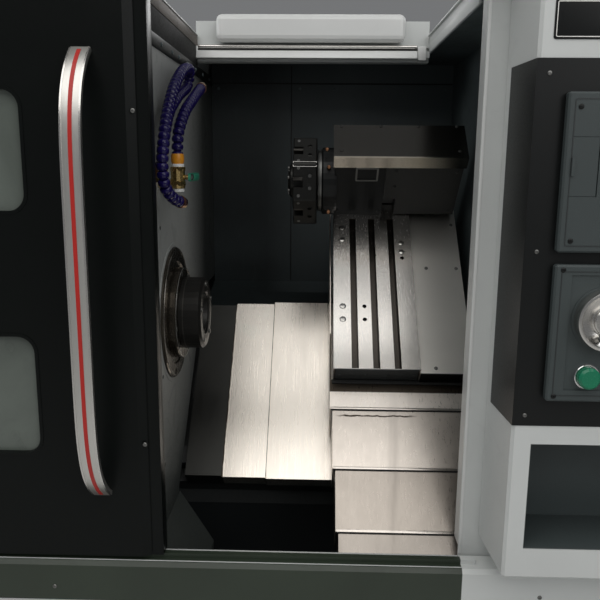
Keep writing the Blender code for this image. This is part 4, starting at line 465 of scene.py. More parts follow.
# A flat frame with rounded corners
def frameForm(x, z, radius, width, start, end, along="Y", slanted=False):
    outer = roundedOutline(x, z, radius)
    innerRadius = max(radius - width, 0.0005)
    inner = roundedOutline((x[0] + width, x[1] - width), (z[0] + width, z[1] - width), innerRadius)
    form = bmesh.new()
    corners = ((outer, start), (outer, end), (inner, end), (inner, start))
    rings = [outlineRing(form, outline, depth, along) for outline, depth in corners]
    return finished(skin(form, rings, True), slanted)


def tubeForm(points, radius, sides):
    path = [Vector(point) for point in points]
    form = bmesh.new()
    rings = []
    across = None
    for i, point in enumerate(path):
        ahead = (path[min(i + 1, len(path) - 1)] - path[max(i - 1, 0)]).normalized()
        if across is None:
            across = ahead.orthogonal()
        across = (across - ahead * across.dot(ahead)).normalized()
        other = ahead.cross(across)
        turns = [math.tau * k / sides for k in range(sides)]
        rings.append([form.verts.new(point + radius * (across * math.cos(t) + other * math.sin(t)))
                      for t in turns])
    return finished(skin(form, rings, capped=True))


# Points at an even step along a smooth curve through the given ones
def curvePoints(points, step):
    knots = [2 * Vector(points[0]) - Vector(points[1])] + [Vector(point) for point in points]
    knots.append(2 * knots[-1] - knots[-2])
    fine = []
    for a, b, c, d in zip(knots, knots[1:], knots[2:], knots[3:]):
        for i in range(12):
            t = i / 12
            lower = 2 * b + (c - a) * t + (2 * a - 5 * b + 4 * c - d) * t**2
            fine.append(0.5 * (lower + (3 * b - a - 3 * c + d) * t**3))
    fine.append(knots[-2])
    length = sum((b - a).length for a, b in zip(fine, fine[1:]))
    count = max(2, round(length / step))
    spaced = [fine[0]]
    walked = 0.0
    for a, b in zip(fine, fine[1:]):
        span = (b - a).length
        while len(spaced) < count and walked + span >= len(spaced) * length / count:
            spaced.append(a.lerp(b, (len(spaced) * length / count - walked) / span))
        walked += span
    return spaced + [fine[-1]]


def plainMesh(name, form, smooth):
    mesh = bpy.data.meshes.new(name)
    form.to_mesh(mesh)
    form.free()
    mesh.shade_smooth()
    mesh.set_sharp_from_angle(angle=math.radians(smooth))
    return mesh


def mount(name, mesh, body):
    obj = bpy.data.objects.new(name, mesh)
    bpy.context.scene.collection.objects.link(obj)
    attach(obj, body)
    return obj


# Makes one piece of a form or of a list of them
def put(name, form, look, body="machine", smooth=smoothBelow["pieces"]):
    mesh = plainMesh(name, join(*form) if isinstance(form, list) else form, smooth)
    mesh.materials.append(materials[look])
    return mount(name, mesh, body)


# Repeated pieces

# A screw head or link of unit radius round +Z
def makeHead(name, profile, sides, recess=0.0, depth=0.0, recessSides=6):
    form = turnedForm(profile, "Z", (0.0, 0.0, 0.0), sides)
    if recess:
        form.faces.ensure_lookup_table()
        top = max(point for point, radius in profile)
        flat = [v for v in form.verts if abs(v.co.z - top) < 1e-6 and v.co.xy.length < 1e-6]
        bmesh.ops.delete(form, geom=flat, context="VERTS")
        rim = [e for e in form.edges if e.is_boundary]
        ring = sorted({v for e in rim for v in e.verts}, key=lambda v: math.atan2(v.co.y, v.co.x))
        inner = []
        for v in ring:
            turn = math.atan2(v.co.y, v.co.x)
            part = math.pi / recessSides
            lean = (turn % (2 * part)) - part
            reach = recess * math.cos(part) / math.cos(lean)
            inner.append(form.verts.new((reach * math.cos(turn), reach * math.sin(turn), top)))
        low = [form.verts.new((v.co.x * 0.96, v.co.y * 0.96, top - depth)) for v in inner]
        count = len(ring)
        for i in range(count):
            k = (i + 1) % count
            form.faces.new((ring[i], ring[k], inner[k], inner[i]))
            form.faces.new((inner[i], inner[k], low[k], low[i]))
        form.faces.new(low)
        bmesh.ops.recalc_face_normals(form, faces=form.faces)
    return bpy.data.objects.new(name, plainMesh(name, form, smoothBelow["pieces"]))


heads = {
    "cap": makeHead("capHead", [(0, 0), (0, 1), (0.85, 1), (1.0, 0.86), (1.0, 0)], 24, 0.52, 0.6),
    "button": makeHead(
        "buttonHead", [(0, 0), (0, 1), (0.12, 1), (0.36, 0.86), (0.52, 0.62), (0.52, 0)], 24, 0.40, 0.3),
    "pan": makeHead("panHead", [(0, 0), (0, 1), (0.18, 1), (0.38, 0.80), (0.44, 0.55), (0.44, 0)], 24, 0.34,
                    0.25, 4),
    "flush": makeHead("flushHead", [(0, 0), (0, 1), (0.06, 0.97), (0.08, 0.90), (0.08, 0)], 24, 0.42, 0.30),
    "hex": makeHead("hexHead", [(0, 0), (0, 1.0), (0.62, 1.0), (0.7, 0.9), (0.7, 0)], 6),
    "bead": makeHead(
        "beadLink",
        [(-0.62, 0), (-0.62, 0.62), (-0.56, 0.78), (-0.38, 0.94), (-0.08, 1.0), (0.20, 0.97), (0.42, 0.85),
         (0.54, 0.68), (0.66, 0.62), (0.66, 0)],
        28,
    ),
}

# Both groups place a head on points, make it real and paint it
placing = dict(
    align="FunctionNodeAlignRotationToVector", source="GeometryNodeObjectInfo",
    place="GeometryNodeInstanceOnPoints",
    real="GeometryNodeRealizeInstances", paint="GeometryNodeSetMaterial",
)
placed = [
    ("in", "Head", "source", "Object"), ("source", "Geometry", "place", "Instance"), ("place", 0, "real", 0),
    ("real", 0, "paint", "Geometry"), ("in", "Material", "paint", "Material"), ("paint", 0, "out", 0),
]
# heads are turned along the facing attribute, spun at random and scaled by the size attribute
scatter, scatterSockets, made = makeGroup(
    "headsOnPoints",
    {"Head": "Object", "Random spin": "Float", "Seed": "Int", "Material": "Material"},
    dict(points="GeometryNodeMeshToPoints", facing="GeometryNodeInputNamedAttribute",
         size="GeometryNodeInputNamedAttribute", random="FunctionNodeRandomValue",
         euler="ShaderNodeCombineXYZ",
         turn="FunctionNodeRotateRotation", **placing),
    dict(facing=dict(data_type="FLOAT_VECTOR"), size=dict(data_type="FLOAT"), align=dict(axis="Z"),
         random=dict(data_type="FLOAT"), turn=dict(rotation_space="LOCAL")),
    [("in", "Geometry", "points", "Mesh"), ("points", 0, "place", "Points"),
     ("facing", "Attribute", "align", "Vector"),
     ("in", "Random spin", "random", 3), ("in", "Seed", "random", "Seed"), ("random", 1, "euler", "Z"),
     ("align", 0, "turn", "Rotation"), ("euler", 0, "turn", "Rotate By"), ("turn", 0, "place", "Rotation"),
     ("size", "Attribute", "place", "Scale")] + placed,
)
made["facing"].inputs["Name"].default_value = "facing"
made["size"].inputs["Name"].default_value = "size"
# links stand at an even pitch along a curve
chain, chainSockets, _ = makeGroup(
    "linksOnPath",
    {"Head": "Object", "Pitch": "Float", "Size": "Float", "Material": "Material"},
    dict(curve="GeometryNodeMeshToCurve", even="GeometryNodeResampleCurve",
         tangent="GeometryNodeInputTangent",
         **placing),
    dict(even=dict(mode="LENGTH"), align=dict(axis="Z")),
    [("in", "Geometry", "curve", "Mesh"), ("curve", 0, "even", "Curve"), ("in", "Pitch", "even", "Length"),
     ("even", 0, "place", "Points"), ("tangent", 0, "align", "Vector"), ("align", 0, "place", "Rotation"),
     ("in", "Size", "place", "Scale")] + placed,
)


# Runs a mesh through a group and keeps what it makes as one plain piece
def throughNodes(name, mesh, group, sockets, values, look, body):
    carrier = bpy.data.objects.new(name + "Carrier", mesh)
    bpy.context.scene.collection.objects.link(carrier)
    modifier = carrier.modifiers.new("placing", "NODES")
    modifier.node_group = group
    for label, value in dict(values, Material=materials[look]).items():
        modifier[sockets[label]] = value
    graph = bpy.context.evaluated_depsgraph_get()
    made = bpy.data.meshes.new_from_object(carrier.evaluated_get(graph))
    bpy.data.objects.remove(carrier)
    made.name = name
    if not made.materials:
        made.materials.append(materials[look])
    return mount(name, made, body)


# Heads of one size. The facing is one direction, or a list with one for each point.
def spread(name, head, points, facing, size, look="screwSteel", body="machine", spin=math.tau, seed=3):
    facings = facing if isinstance(facing, list) else [facing] * len(points)
    mesh = bpy.data.meshes.new(name + "Points")
    mesh.from_pydata([tuple(point) for point in points], [], [])
    mesh.attributes.new("facing", "FLOAT_VECTOR", "POINT")
    mesh.attributes.new("size", "FLOAT", "POINT")
    mesh.attributes["facing"].data.foreach_set("vector", [v for direction in facings for v in direction])
    mesh.attributes["size"].data.foreach_set("value", [size] * len(points))
    values = {"Head": heads[head], "Random spin": spin, "Seed": seed}
    return throughNodes(name, mesh, scatter, scatterSockets, values, look, body)


def linkAlong(name, link, points, pitch, size, look, body="machine"):
    mesh = bpy.data.meshes.new(name + "Path")
    mesh.from_pydata([tuple(point) for point in points], [(i, i + 1) for i in range(len(points) - 1)], [])
    values = {"Head": heads[link], "Pitch": pitch, "Size": size}
    return throughNodes(name, mesh, chain, chainSockets, values, look, body)


towardFront = (0.0, -1.0, 0.0)
towardBack = (0.0, 1.0, 0.0)
towardRight = (1.0, 0.0, 0.0)
towardLeft = (-1.0, 0.0, 0.0)
upward = (0.0, 0.0, 1.0)
offSlant = (0.0, -diagonal, diagonal)
downSlant = (0.0, -diagonal, -diagonal)
print("helpers ready")

# Camera and light
camera = dict(place=(0.03, -1.585, 1.42), pitch=-11.2, yaw=1.5, roll=0.46, focal=704.1, frame=600.0,
              sensor=36.0)
view = bpy.data.cameras.new("photoCamera")
view.lens = camera["focal"] / camera["frame"] * camera["sensor"]
view.sensor_width = camera["sensor"]
view.sensor_fit = "HORIZONTAL"
view.clip_start = 0.05
viewer = bpy.data.objects.new("photoCamera", view)
bpy.context.scene.collection.objects.link(viewer)
pitch, yaw, roll = (math.radians(camera[key]) for key in ("pitch", "yaw", "roll"))
ahead = Vector((-math.sin(yaw) * math.cos(pitch), math.cos(yaw) * math.cos(pitch), math.sin(pitch)))
right = Vector((math.cos(yaw), math.sin(yaw), 0.0))
above = right.cross(ahead)
side = math.cos(roll) * right + math.sin(roll) * above
top = -math.sin(roll) * right + math.cos(roll) * above
turnedBy = Matrix((side, top, -ahead)).transposed().to_4x4()
viewer.matrix_world = Matrix.Translation(camera["place"]) @ turnedBy
bpy.context.scene.camera = viewer

lights = {
    "overhead": dict(at=(-0.3, -2.7, 3.7), aim=(-0.3, -2.7, 0.0), size=(5.0, 3.8), power=86.0,
                     tint=(1.0, 0.985, 0.96)),
    "front": dict(at=(2.2, -3.4, 2.6), aim=(0.3, -0.5, 1.1), size=(2.0, 1.6), power=20.0,
                  tint=(1.0, 1.0, 1.0)),
    "left": dict(at=(-4.0, 0.4, 2.2), aim=(0.0, 0.0, 0.9), size=(2.4, 2.4), power=40.0,
                 tint=(0.97, 0.99, 1.0)),
    "rear": dict(at=(0.8, 4.0, 2.6), aim=(0.0, 0.3, 0.9), size=(3.0, 2.0), power=55.0, tint=(1.0, 1.0, 1.0)),
}
for name, light in lights.items():
    lamp = bpy.data.lights.new(name, "AREA")
    lamp.shape = "RECTANGLE"
    lamp.size, lamp.size_y = light["size"]
    lamp.energy = light["power"]
    lamp.color = light["tint"]
    holder = bpy.data.objects.new(name, lamp)
    holder.location = light["at"]
    holder.rotation_euler = (Vector(light["aim"]) - Vector(light["at"])).to_track_quat("-Z", "Y").to_euler()
    bpy.context.scene.collection.objects.link(holder)
sky = dict(colour=(0.86, 0.88, 0.90, 1.0), strength=0.20)
world = bpy.data.worlds.new("softSky")
world.use_nodes = True
world.node_tree.nodes["Background"].inputs[0].default_value = sky["colour"]
world.node_tree.nodes["Background"].inputs[1].default_value = sky["strength"]
bpy.context.scene.world = world
bpy.context.scene.view_settings.view_transform = "Standard"

ground = bmesh.new()
bmesh.ops.create_grid(ground, x_segments=1, y_segments=1, size=7.0)
groundMesh = bpy.data.meshes.new("floor")
ground.to_mesh(groundMesh)
ground.free()
groundPaint = makeMaterial("floorPaint", (0.62, 0.62, 0.61), 0.7, grain=60, bump=0.02, mottle=0.03, dirt=0.03)
groundMesh.materials.append(groundPaint)
floor = bpy.data.objects.new("floor", groundMesh)
bpy.context.scene.collection.objects.link(floor)
print("camera and light set")

# Front door. The handle is a flat bar bowed away from the door, with a red stripe on its outer face.
door = dict(
    front=-0.585, windowX=(-0.630, -0.386), windowsZ=((1.342, 1.518), (0.974, 1.165)), sealWidth=0.005,
    sealRadius=0.030, screws=((-0.2300, 1.486), (-0.2300, 0.995)), screwSize=0.0036, trimZ=(0.812, 1.700),
)
handle = dict(x=-0.2965, z=(0.917, 1.566), steps=96, bow=0.061, off=0.0043, wide=0.028, thick=0.008,
              corner=0.0016,
              stripe=0.0055)


# Sweeps a section along the handle's middle line, lifted away from it
def bowedBar(section, lift, skip=0):
    low, high = handle["z"]
    steps = handle["steps"]
    line = []
    for i in range(steps + 1):
        turn = math.pi * i / steps
        bow = (1.0 - abs(math.cos(turn)) ** 7) * handle["bow"]
        z = (low + high) / 2 - (high - low) / 2 * math.cos(turn)
        line.append(Vector((handle["x"], door["front"] - handle["off"] - bow, z)))
    form = bmesh.new()
    rings = []
    for i in range(skip, steps + 1 - skip):
        ahead = (line[min(i + 1, steps)] - line[max(i - 1, 0)]).normalized()
        out = Vector((0.0, -ahead.z, ahead.y))
        rings.append([form.verts.new(line[i] + Vector((a, 0.0, 0.0)) + out * (b + lift)) for a, b in section])
    return finished(skin(form, rings, capped=True))


def buildDoor():
    front = door["front"]
    x = door["windowX"]
    w = door["sealWidth"]
    seals = []
    for z in door["windowsZ"]:
        outer = [(span[0] - w * 0.2, span[1] + w * 0.2) for span in (x, z)]
        seals.append(frameForm(*outer, door["sealRadius"], w, front - 0.0010, front + 0.010))
    put("windowSeals", seals, "doorBlack", "door")
    wide, thick = handle["wide"], handle["thick"]
    bar = roundedOutline((-wide / 2, wide / 2), (-thick / 2, thick / 2), handle["corner"], 3)
    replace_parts(put("handleBar", bowedBar(bar, 0.0), "aluminium", "door", smoothBelow["bars"]), "door_handle")
    half = handle["stripe"] / 2
    put("handleStripe", bowedBar(rectangle((-half, half), (-0.0004, 0.0007)), thick / 2, 5), "stripeRed",
        "door")
    rims = []
    for side in (-1, 1):
        near, far = sorted((side * (wide / 2 - 0.0022), side * (wide / 2 + 0.0002)))
        rims.append(bowedBar(rectangle((near, far), (-0.0006, 0.0006)), thick / 2, 3))
    put("handleEdges", rims, "brightSteel", "door", smoothBelow["bars"])
    spread("doorScrews", "button", [(x, front, z) for x, z in door["screws"]], towardFront, door["screwSize"],
           body="door")
    trims = [
        box((-0.226, -0.2255), (front + 0.0048, front + 0.0062), door["trimZ"]),
        box((-0.2085, -0.2078), (front + 0.0040, front + 0.030), door["trimZ"], 0.0002),
    ]
    put("doorEdges", trims, "doorBlack", "door")


buildDoor()
print("door done")

# Sill, apron and door track
sill = dict(
    front=-0.592, top=0.800, left=-0.898, line=0.0022, lineBack=0.0080,
    screwsX=(-0.86, -0.62, -0.38, 0.38, 0.62, 0.86),
    screwZ=0.757, screwSize=0.0035,
)


def buildSill():
    front, top = sill["front"] + sill["lineBack"], sill["top"]
    pieces = [
        box((sill["left"], 0.2585), (front, front + sill["line"]), (top - 0.0004, top + 0.0005), 0.0002),
        box((sill["left"], 0.258), (-0.5605, -0.5495), (top - 0.0004, top + 0.0012), 0.0004),
    ]
    put("sillLines", pieces, "whitePaint")
    put("sillSeam", box((-0.895, 0.895), (-0.5897, -0.5870), (0.7325, 0.7352), 0.0006), "rubber")
    places = [(x, sill["front"] + 0.0002, sill["screwZ"]) for x in sill["screwsX"]]
    spread("sillScrews", "button", places, towardFront, sill["screwSize"])


buildSill()
print("sill done")

# Spindle. Each ring of screws has its place on the axis, radius, count, first turn and screw size.
spindle = dict(
    s=0.5742, n=1.048, flangeScrews=(-0.2338, 0.108, 6, math.tau / 12, 0.0050),
    collarScrews=(-0.2130, 0.074, 8, 0.2, 0.0042), noseScrews=(-0.1755, 0.053, 5, 0.8, 0.0040),
)


def buildSpindle():
    s, n = spindle["s"], spindle["n"]
    centre = (0.0, s, n)

    def ringScrews(name, head, body):
        x, radius, count, start, size = spindle[name]
        turns = [math.tau * i / count + start for i in range(count)]
        points = [slantPoint(x, s + radius * math.cos(turn), n + radius * math.sin(turn)) for turn in turns]
        spread(name, head, points, towardRight, size, body=body)

    ringScrews("flangeScrews", "cap", "machine")
    ringScrews("collarScrews", "flush", "machine")
    rings = [
        slantRing(centre, -0.2262, -0.2254, 0.1140, 0.1128, 72),
        slantRing(centre, -0.2134, -0.2124, 0.0815, 0.0795, 72),
    ]
    put("flangeEdges", rings, "brightSteel")
    thin = [(-0.2060, 0.0648), (-0.2060, 0.0650), (-0.2040, 0.0650), (-0.2040, 0.0648)]
    rings = [
        slantRing(centre, -0.1742, -0.1736, 0.0590, 0.0480, 64),
        turnedForm(thin, "X", centre, 64, True, True),
    ]
    put("noseRings", rings, "darkSteel", "spindle_unit")
    ringScrews("noseScrews", "cap", "spindle_unit")


buildSpindle()
print("spindle done")

# Turret
turret = dict(
    s=0.902, n=1.048, left=-0.023, right=0.0245, flat=0.086, stations=8, bossScrews=6, bossRadius=0.027,
    frontFace=0.8685, hoodTop=1.1520, fittings=((0.044, -0.1665, 1.4420), (0.048, -0.1725, 1.4080),
                                                 (0.048, -0.1735, 1.3200)),
)


def stationTurn(i):
    return Matrix.Rotation(math.tau * i / turret["stations"] + math.pi / 4, 4, "X")


# A point of a station in the world: out from the axis, and aside along the flat
def onStation(i, x, out, aside):
    local = stationTurn(i) @ Vector((0.0, out, aside))
    return slantPoint(x, turret["s"] + local.y, turret["n"] + local.z)


def buildTurret():
    flat = turret["flat"]
    centre = (0.0, turret["s"], turret["n"])
    caps, pins, facings, wedges = [], [], [], []
    for i in range(turret["stations"]):
        facings += [(slantTurn @ stationTurn(i)) @ Vector((0.0, 1.0, 0.0))] * 2
        caps += [onStation(i, 0.0105, flat - 0.0075, aside) for aside in (-0.012, 0.012)]
        pins += [onStation(i, -0.0118, flat, aside) for aside in (-0.027, 0.027)]
        wedge = box((-0.0225, -0.0032), (0.048, 0.0835), (-0.0099, -0.0030), 0.0006)
        bmesh.ops.transform(wedge, matrix=slantTurn @ Matrix.Translation(centre) @ stationTurn(i),
                            verts=wedge.verts)
        wedges.append(wedge)
    spread("stationScrews", "cap", caps, facings, 0.0040, body="turret")
    spread("stationPins", "flush", pins, facings, 0.0030, body="turret")
    put("stationWedges", wedges, "darkSteel", "turret")
    # the polished land between the two upper front stations
    land = bmesh.new()
    for out, aside in ((flat + 0.0003, 0.0298), (flat - 0.0020, 0.0290)):
        for x in (turret["left"] + 0.0004, turret["right"] - 0.0006):
            land.verts.new(onStation(1, x, out, aside))
            land.verts.new(onStation(2, x, out, -aside))
    bmesh.ops.convex_hull(land, input=land.verts)
    put("turretLand", bevelled(land, 0.0003, 1, 60.0), "brightSteel", "turret")
    boss = [
        discForm("X", centre, -0.0318, -0.0350, 0.020, 0.001, 48, True),
        slantRing(centre, -0.0232, -0.0240, 0.0445, 0.0425, 64),
    ]
    put("turretBoss", boss, "turretSteel", "turret")
    turns = [math.tau * i / turret["bossScrews"] for i in range(turret["bossScrews"])]
    reach = turret["bossRadius"]
    spots = [slantPoint(-0.0320, centre[1] + reach * math.cos(t), centre[2] + reach * math.sin(t))
             for t in turns]
    spread("bossScrews", "cap", spots, towardLeft, 0.0034, body="turret")
    profile = [(0.0262, 0.0560), (0.0262, 0.0618), (0.0272, 0.0622), (0.0340, 0.0622), (0.0346, 0.0616),
               (0.0346, 0.0560)]
    put("turretRing", turnedForm(profile, "X", centre, 72, True, True), "screwSteel", "cross_unit")
    # fittings behind the disc
    fittings = []
    for x, y, z in turret["fittings"]:
        profile = [(y + 0.010, 0.0), (y + 0.010, 0.0038), (y, 0.0038), (y - 0.001, 0.0028),
                   (y - 0.007, 0.0028),
                   (y - 0.008, 0.0)]
        fittings.append(turnedForm(profile, "Y", (x, 0.0, z), 20))
    put("turretFittings", fittings, "copper", "cross_unit")
    # a frame for a plate, and the screws of housing, hood and motor cover
    s = turret["frontFace"]
    holder = frameForm((0.101, 0.146), (1.085, 1.122), 0.003, 0.0035, s - 0.0016, s + 0.001, "Y", True)
    put("plateFrame", holder, "screwSteel", "cross_unit")
    corners = [(x, s - 0.0004, n) for x in (0.067, 0.153) for n in (0.995, 1.137)]
    hoodSpots = [(x, 0.952, turret["hoodTop"]) for x in (0.072, 0.150, 0.225, 0.300)]
    hoodSpots += [(x, 0.884, turret["hoodTop"]) for x in (0.072, 0.300)]
    coverSpots = [(x, s - 0.0004, n) for x,
                  n in ((0.181, 1.069), (0.300, 0.997), (0.300, 1.112), (0.181, 1.112))]
    for name, places, facing, size in (
        ("housingScrews", corners, downSlant, 0.0036), ("hoodScrews", hoodSpots, offSlant, 0.0034),
        ("motorCoverScrews", coverSpots, downSlant, 0.0034),
    ):
        spread(name, "button", [slantPoint(*place) for place in places], facing, size, "motorCoverPaint",
               "cross_unit")
    edges = [
        slantBox((0.190, 0.3105), (s - 0.0012, s + 0.0005), (1.1475, 1.1492), 0.0003),
        slantBox((0.1606, 0.1622), (s - 0.0012, s + 0.0005), (1.034, 1.1490), 0.0003),
    ]
    put("motorCoverEdges", edges, "motorCoverPaint", "cross_unit")


buildTurret()
print("turret done")

# Cross slide. Set screws close most of its tapped holes.
table = dict(
    left=0.060, low=0.498, high=0.8685, top=0.9829, coverTop=0.9724,
    plugs=((0.018, 0.3325), (0.018, 0.3015), (0.139, 0.2940), (0.139, 0.2710), (0.018, 0.1370),
           (0.018, 0.1070)),
    coverScrews=((0.248, 0.736), (0.249, 0.507), (0.308, 0.507), (0.308, 0.736), (0.308, 0.850)),
    frontScrewsX=(0.072, 0.120, 0.162, 0.208),
)


def buildTable():
    low, top = table["low"], table["top"]
    spots = [slantPoint(x, s, table["coverTop"]) for x, s in table["coverScrews"]]
    spread("sideCoverScrews", "button", spots, offSlant, 0.0036, body="cross_unit")
    plugs = []
    rims = []
    for x, s in table["plugs"]:
        centre = (table["left"] + x, low + s, 0.0)
        rims.append(discForm("Z", centre, top - 0.0030, top + 0.0002, 0.0064, 0.0002, 32, True))
        plugs.append(discForm("Z", centre, top - 0.0010, top + 0.0006, 0.0054, 0.0004, 32, True))
    put("tablePlugRims", rims, "darkSteel", "cross_unit")
    put("tablePlugs", plugs, "brightSteel", "cross_unit")
    height = (top - 0.0013, top + 0.0001)
    chamfer = [
        slantBox((0.0598, 0.0612), (low - 0.0002, table["high"]), height),
        slantBox((0.0598, 0.2202), (low - 0.0003, low + 0.0010), height),
    ]
    put("tableEdges", chamfer, "brightSteel", "cross_unit")
    put("tableWiper", slantBox((0.058, 0.302), (0.4895, 0.4978), (0.9384, 0.9410), 0.0006), "rubber",
        "cross_unit")
    front = [
        slantBox((0.064, 0.216), (0.4962, 0.4982), (0.945, 0.9815), 0.0004),
        slantBox((0.2215, 0.3015), (0.4964, 0.4984), (0.945, 0.9700), 0.0004),
    ]
    put("tableFrontPlate", front, "bedPaint", "cross_unit")
    spots = [slantPoint(x, 0.4960, 0.963) for x in table["frontScrewsX"]]
    spread("tableFrontScrews", "button", spots, downSlant, 0.0032, "bedPaint", "cross_unit")


buildTable()

# Telescopic covers: body, span across, place of the lip and level in the nest
covers = dict(
    nest=0.0026, crossTop=0.9383, bedTop=0.8217, bedSpan=(0.345, 0.748), bedInset=0.003,
    cross={
        "Front": ("cross_unit", (0.054, 0.306), 0.4384, 0),
        "Upper": ("cross_cover_upper", (0.059, 0.301), 0.3253, 1),
        "Lower": ("cross_cover_lower", (0.064, 0.296), 0.2171, 2),
    },
    bed={"bedLipInner": ("bed_cover_middle", -0.151, 1), "bedLipOuter": ("saddle_unit", -0.066, 0)},
)


def buildCovers():
    # each cross plate ends in a bright folded lip with a dark wiper under it
    for name, (body, x, low, level) in covers["cross"].items():
        top = covers["crossTop"] - level * covers["nest"]
        lip = slantBox((x[0] + 0.0012, x[1] - 0.0012), (low - 0.0004, low + 0.0040),
                       (top - 0.0002, top + 0.0005), 0.0002)
        put("coverLip" + name, lip, "coverSteelX", body)
        wiper = slantBox((x[0] + 0.0024, x[1] - 0.0024), (low - 0.0024, low + 0.0010),
                         (top - 0.0019, top - 0.0003), 0.0003)
        put("coverWiper" + name, wiper, "rubber", body)
    for name, (body, left, level) in covers["bed"].items():
        top = covers["bedTop"] - level * covers["nest"]
        inset = level * covers["bedInset"]
        low, high = covers["bedSpan"][0] + inset, covers["bedSpan"][1] - inset
        wiper = slantBox((left - 0.0004, left + 0.0008), (low + 0.003, high - 0.003),
                         (top - 0.0018, top - 0.0002), 0.0003)
        put(name, wiper, "rubber", body)


buildCovers()
print("slides and covers done")

# Coolant. The hoses' points count from the middle of the valve's top, or from the second union.
hoseA = [
    (0.0000, 0.0000, 0.0003), (0.0000, 0.0000, 0.0150), (0.0020, 0.0020, 0.0500), (0.0060, 0.0410, 0.0850),
    (0.0090, 0.0910, 0.1070), (0.0100, 0.1460, 0.1260), (0.0100, 0.1960, 0.1400),
]
hoseB = [
    (0.0000, 0.0000, 0.0000), (0.0040, 0.0000, 0.0340), (0.0060, 0.0160, 0.0690), (0.0060, 0.0530, 0.1010),
    (0.0070, 0.1080, 0.1250), (0.0050, 0.1630, 0.1390), (0.0060, 0.2020, 0.1500), (0.0090, 0.2160, 0.1660),
    (0.0130, 0.2000, 0.1810), (0.0130, 0.1580, 0.1780), (0.0130, 0.0980, 0.1580), (0.0130, 0.0410, 0.1260),
    (0.0130, -0.0090, 0.0810), (0.0130, -0.0340, 0.0420), (0.0130, -0.0430, 0.0120),
    (0.0150, -0.0360, -0.0170),
    (0.0220, -0.0070, -0.0360), (0.0300, 0.0280, -0.0440),
]
coolant = dict(
    valve=(-0.200, -0.431, 1.412), second=(-0.218, -0.478, 1.396), pitch=0.0120, radius=0.0096, step=0.004,
    nozzle=((0.0, 0.0), (0.0, 0.0085), (0.004, 0.0092), (0.010, 0.0088), (0.013, 0.0060), (0.019, 0.0045),
            (0.019, 0.0)),
    connector=((0.0, 0.0), (0.0, 0.0092), (0.004, 0.0106), (0.012, 0.0106), (0.016, 0.0096), (0.017, 0.0)),
)


# Returns the path, the direction at its end and the one at its root
def buildHose(name, start, points, node):
    path = curvePoints([Vector(start) + Vector(point) for point in points], coolant["step"])
    beads = linkAlong(name, "bead", path[4:-2], coolant["pitch"], coolant["radius"], "hosePlastic")
    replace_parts(beads, node)
    return path, (path[-1] - path[-5]).normalized(), (path[4] - path[0]).normalized()


def aimed(profile, at, direction, steps=28):
    form = turnedForm(profile, "Z", (0.0, 0.0, 0.0), steps)
    turn = Vector(direction).to_track_quat("Z", "Y").to_matrix().to_4x4()
    bmesh.ops.transform(form, matrix=Matrix.Translation(at) @ turn, verts=form.verts)
    return form


def nutForm(radius, shoulder, topRadius, height, at):
    profile = [(0.0, 0.0), (0.0, radius), (shoulder, radius), (height, topRadius), (height, 0.0)]
    return aimed(profile, at, upward, 6)


def buildCoolant():
    pathA, endA, rootA = buildHose("hoseBeadsA", coolant["valve"], hoseA, "coolant_hose_a")
    pathB, endB, rootB = buildHose("hoseBeadsB", coolant["second"], hoseB, "coolant_hose_b")
    ends = ((pathA[-1], endA), (pathB[-1], endB))
    put("hoseNozzles", [aimed(coolant["nozzle"], point - end * 0.012, end) for point, end in ends], "brass")
    band = [(0.0, 0.0), (0.0, 0.0102), (0.0055, 0.0102), (0.0055, 0.0)]
    tips = [aimed(band, point - end * 0.016, end) for point, end in ends]
    put("hoseConnectors", [aimed(coolant["connector"], pathA[0] + rootA * 0.001, rootA)], "orangePlastic")
    tips.append(aimed(coolant["connector"], pathB[0] - rootB * 0.002, rootB))
    put("hoseTips", tips, "copper")
    x, y, z = coolant["valve"]
    bx, by, bz = coolant["second"]
    elbow = [(-0.2316, by, bz + 0.006), (-0.224, by, bz + 0.006), (-0.2185, by, bz + 0.004),
             (-0.218, by, bz - 0.010)]
    nuts = [
        nutForm(0.0125, 0.007, 0.0110, 0.0078, (x, y, z - 0.0335)),
        nutForm(0.0125, 0.006, 0.0112, 0.0068, (x, y, z - 0.010)),
        tubeForm(elbow, 0.0066, 18),
        nutForm(0.0098, 0.008, 0.0088, 0.009, (bx, by, bz - 0.011)),
    ]
    put("valveNuts", nuts, "brass")
    collars = [
        aimed([(0.0, 0.0), (0.0, 0.0100), (0.0050, 0.0100), (0.0055, 0.0)], (x, y, z - 0.0430), upward, 24),
        aimed([(0.0, 0.0), (0.0, 0.0104), (0.0045, 0.0104), (0.0050, 0.0)], (x, y, z - 0.0032), upward, 24),
    ]
    put("valveCollar", collars, "lampWhite")
    spread("leverNut", "hex", [(x + 0.0215, y, 1.392)], towardRight, 0.0048, body="lever", spin=0.0)
    grip = roundedOutline((y + 0.030, y + 0.0742), (1.3872, 1.3968), 0.0045)
    put("leverGrip", prism(grip, "X", x + 0.0172, x + 0.0226, 0.0012), "leverPlastic", "lever")


buildCoolant()
print("coolant done")

# Inner walls and roof edge
wall = dict(
    x=-0.232, marks=((-0.430, 1.309), (-0.442, 1.057), (-0.448, 0.901), (0.022, 1.209)), screwZ=1.6030,
    screwsY=(-0.476, -0.391, -0.306, -0.246, -0.16, -0.07, 0.02, 0.11), roofY=(-0.4880, 0.0025),
    rightRoofY=(-0.488, 0.0000),
    backScrews=((0.325, 1.588), (0.06, 1.588), (-0.02, 1.588), (-0.215, 1.588), (0.325, 1.30)), backY=0.1646,
)


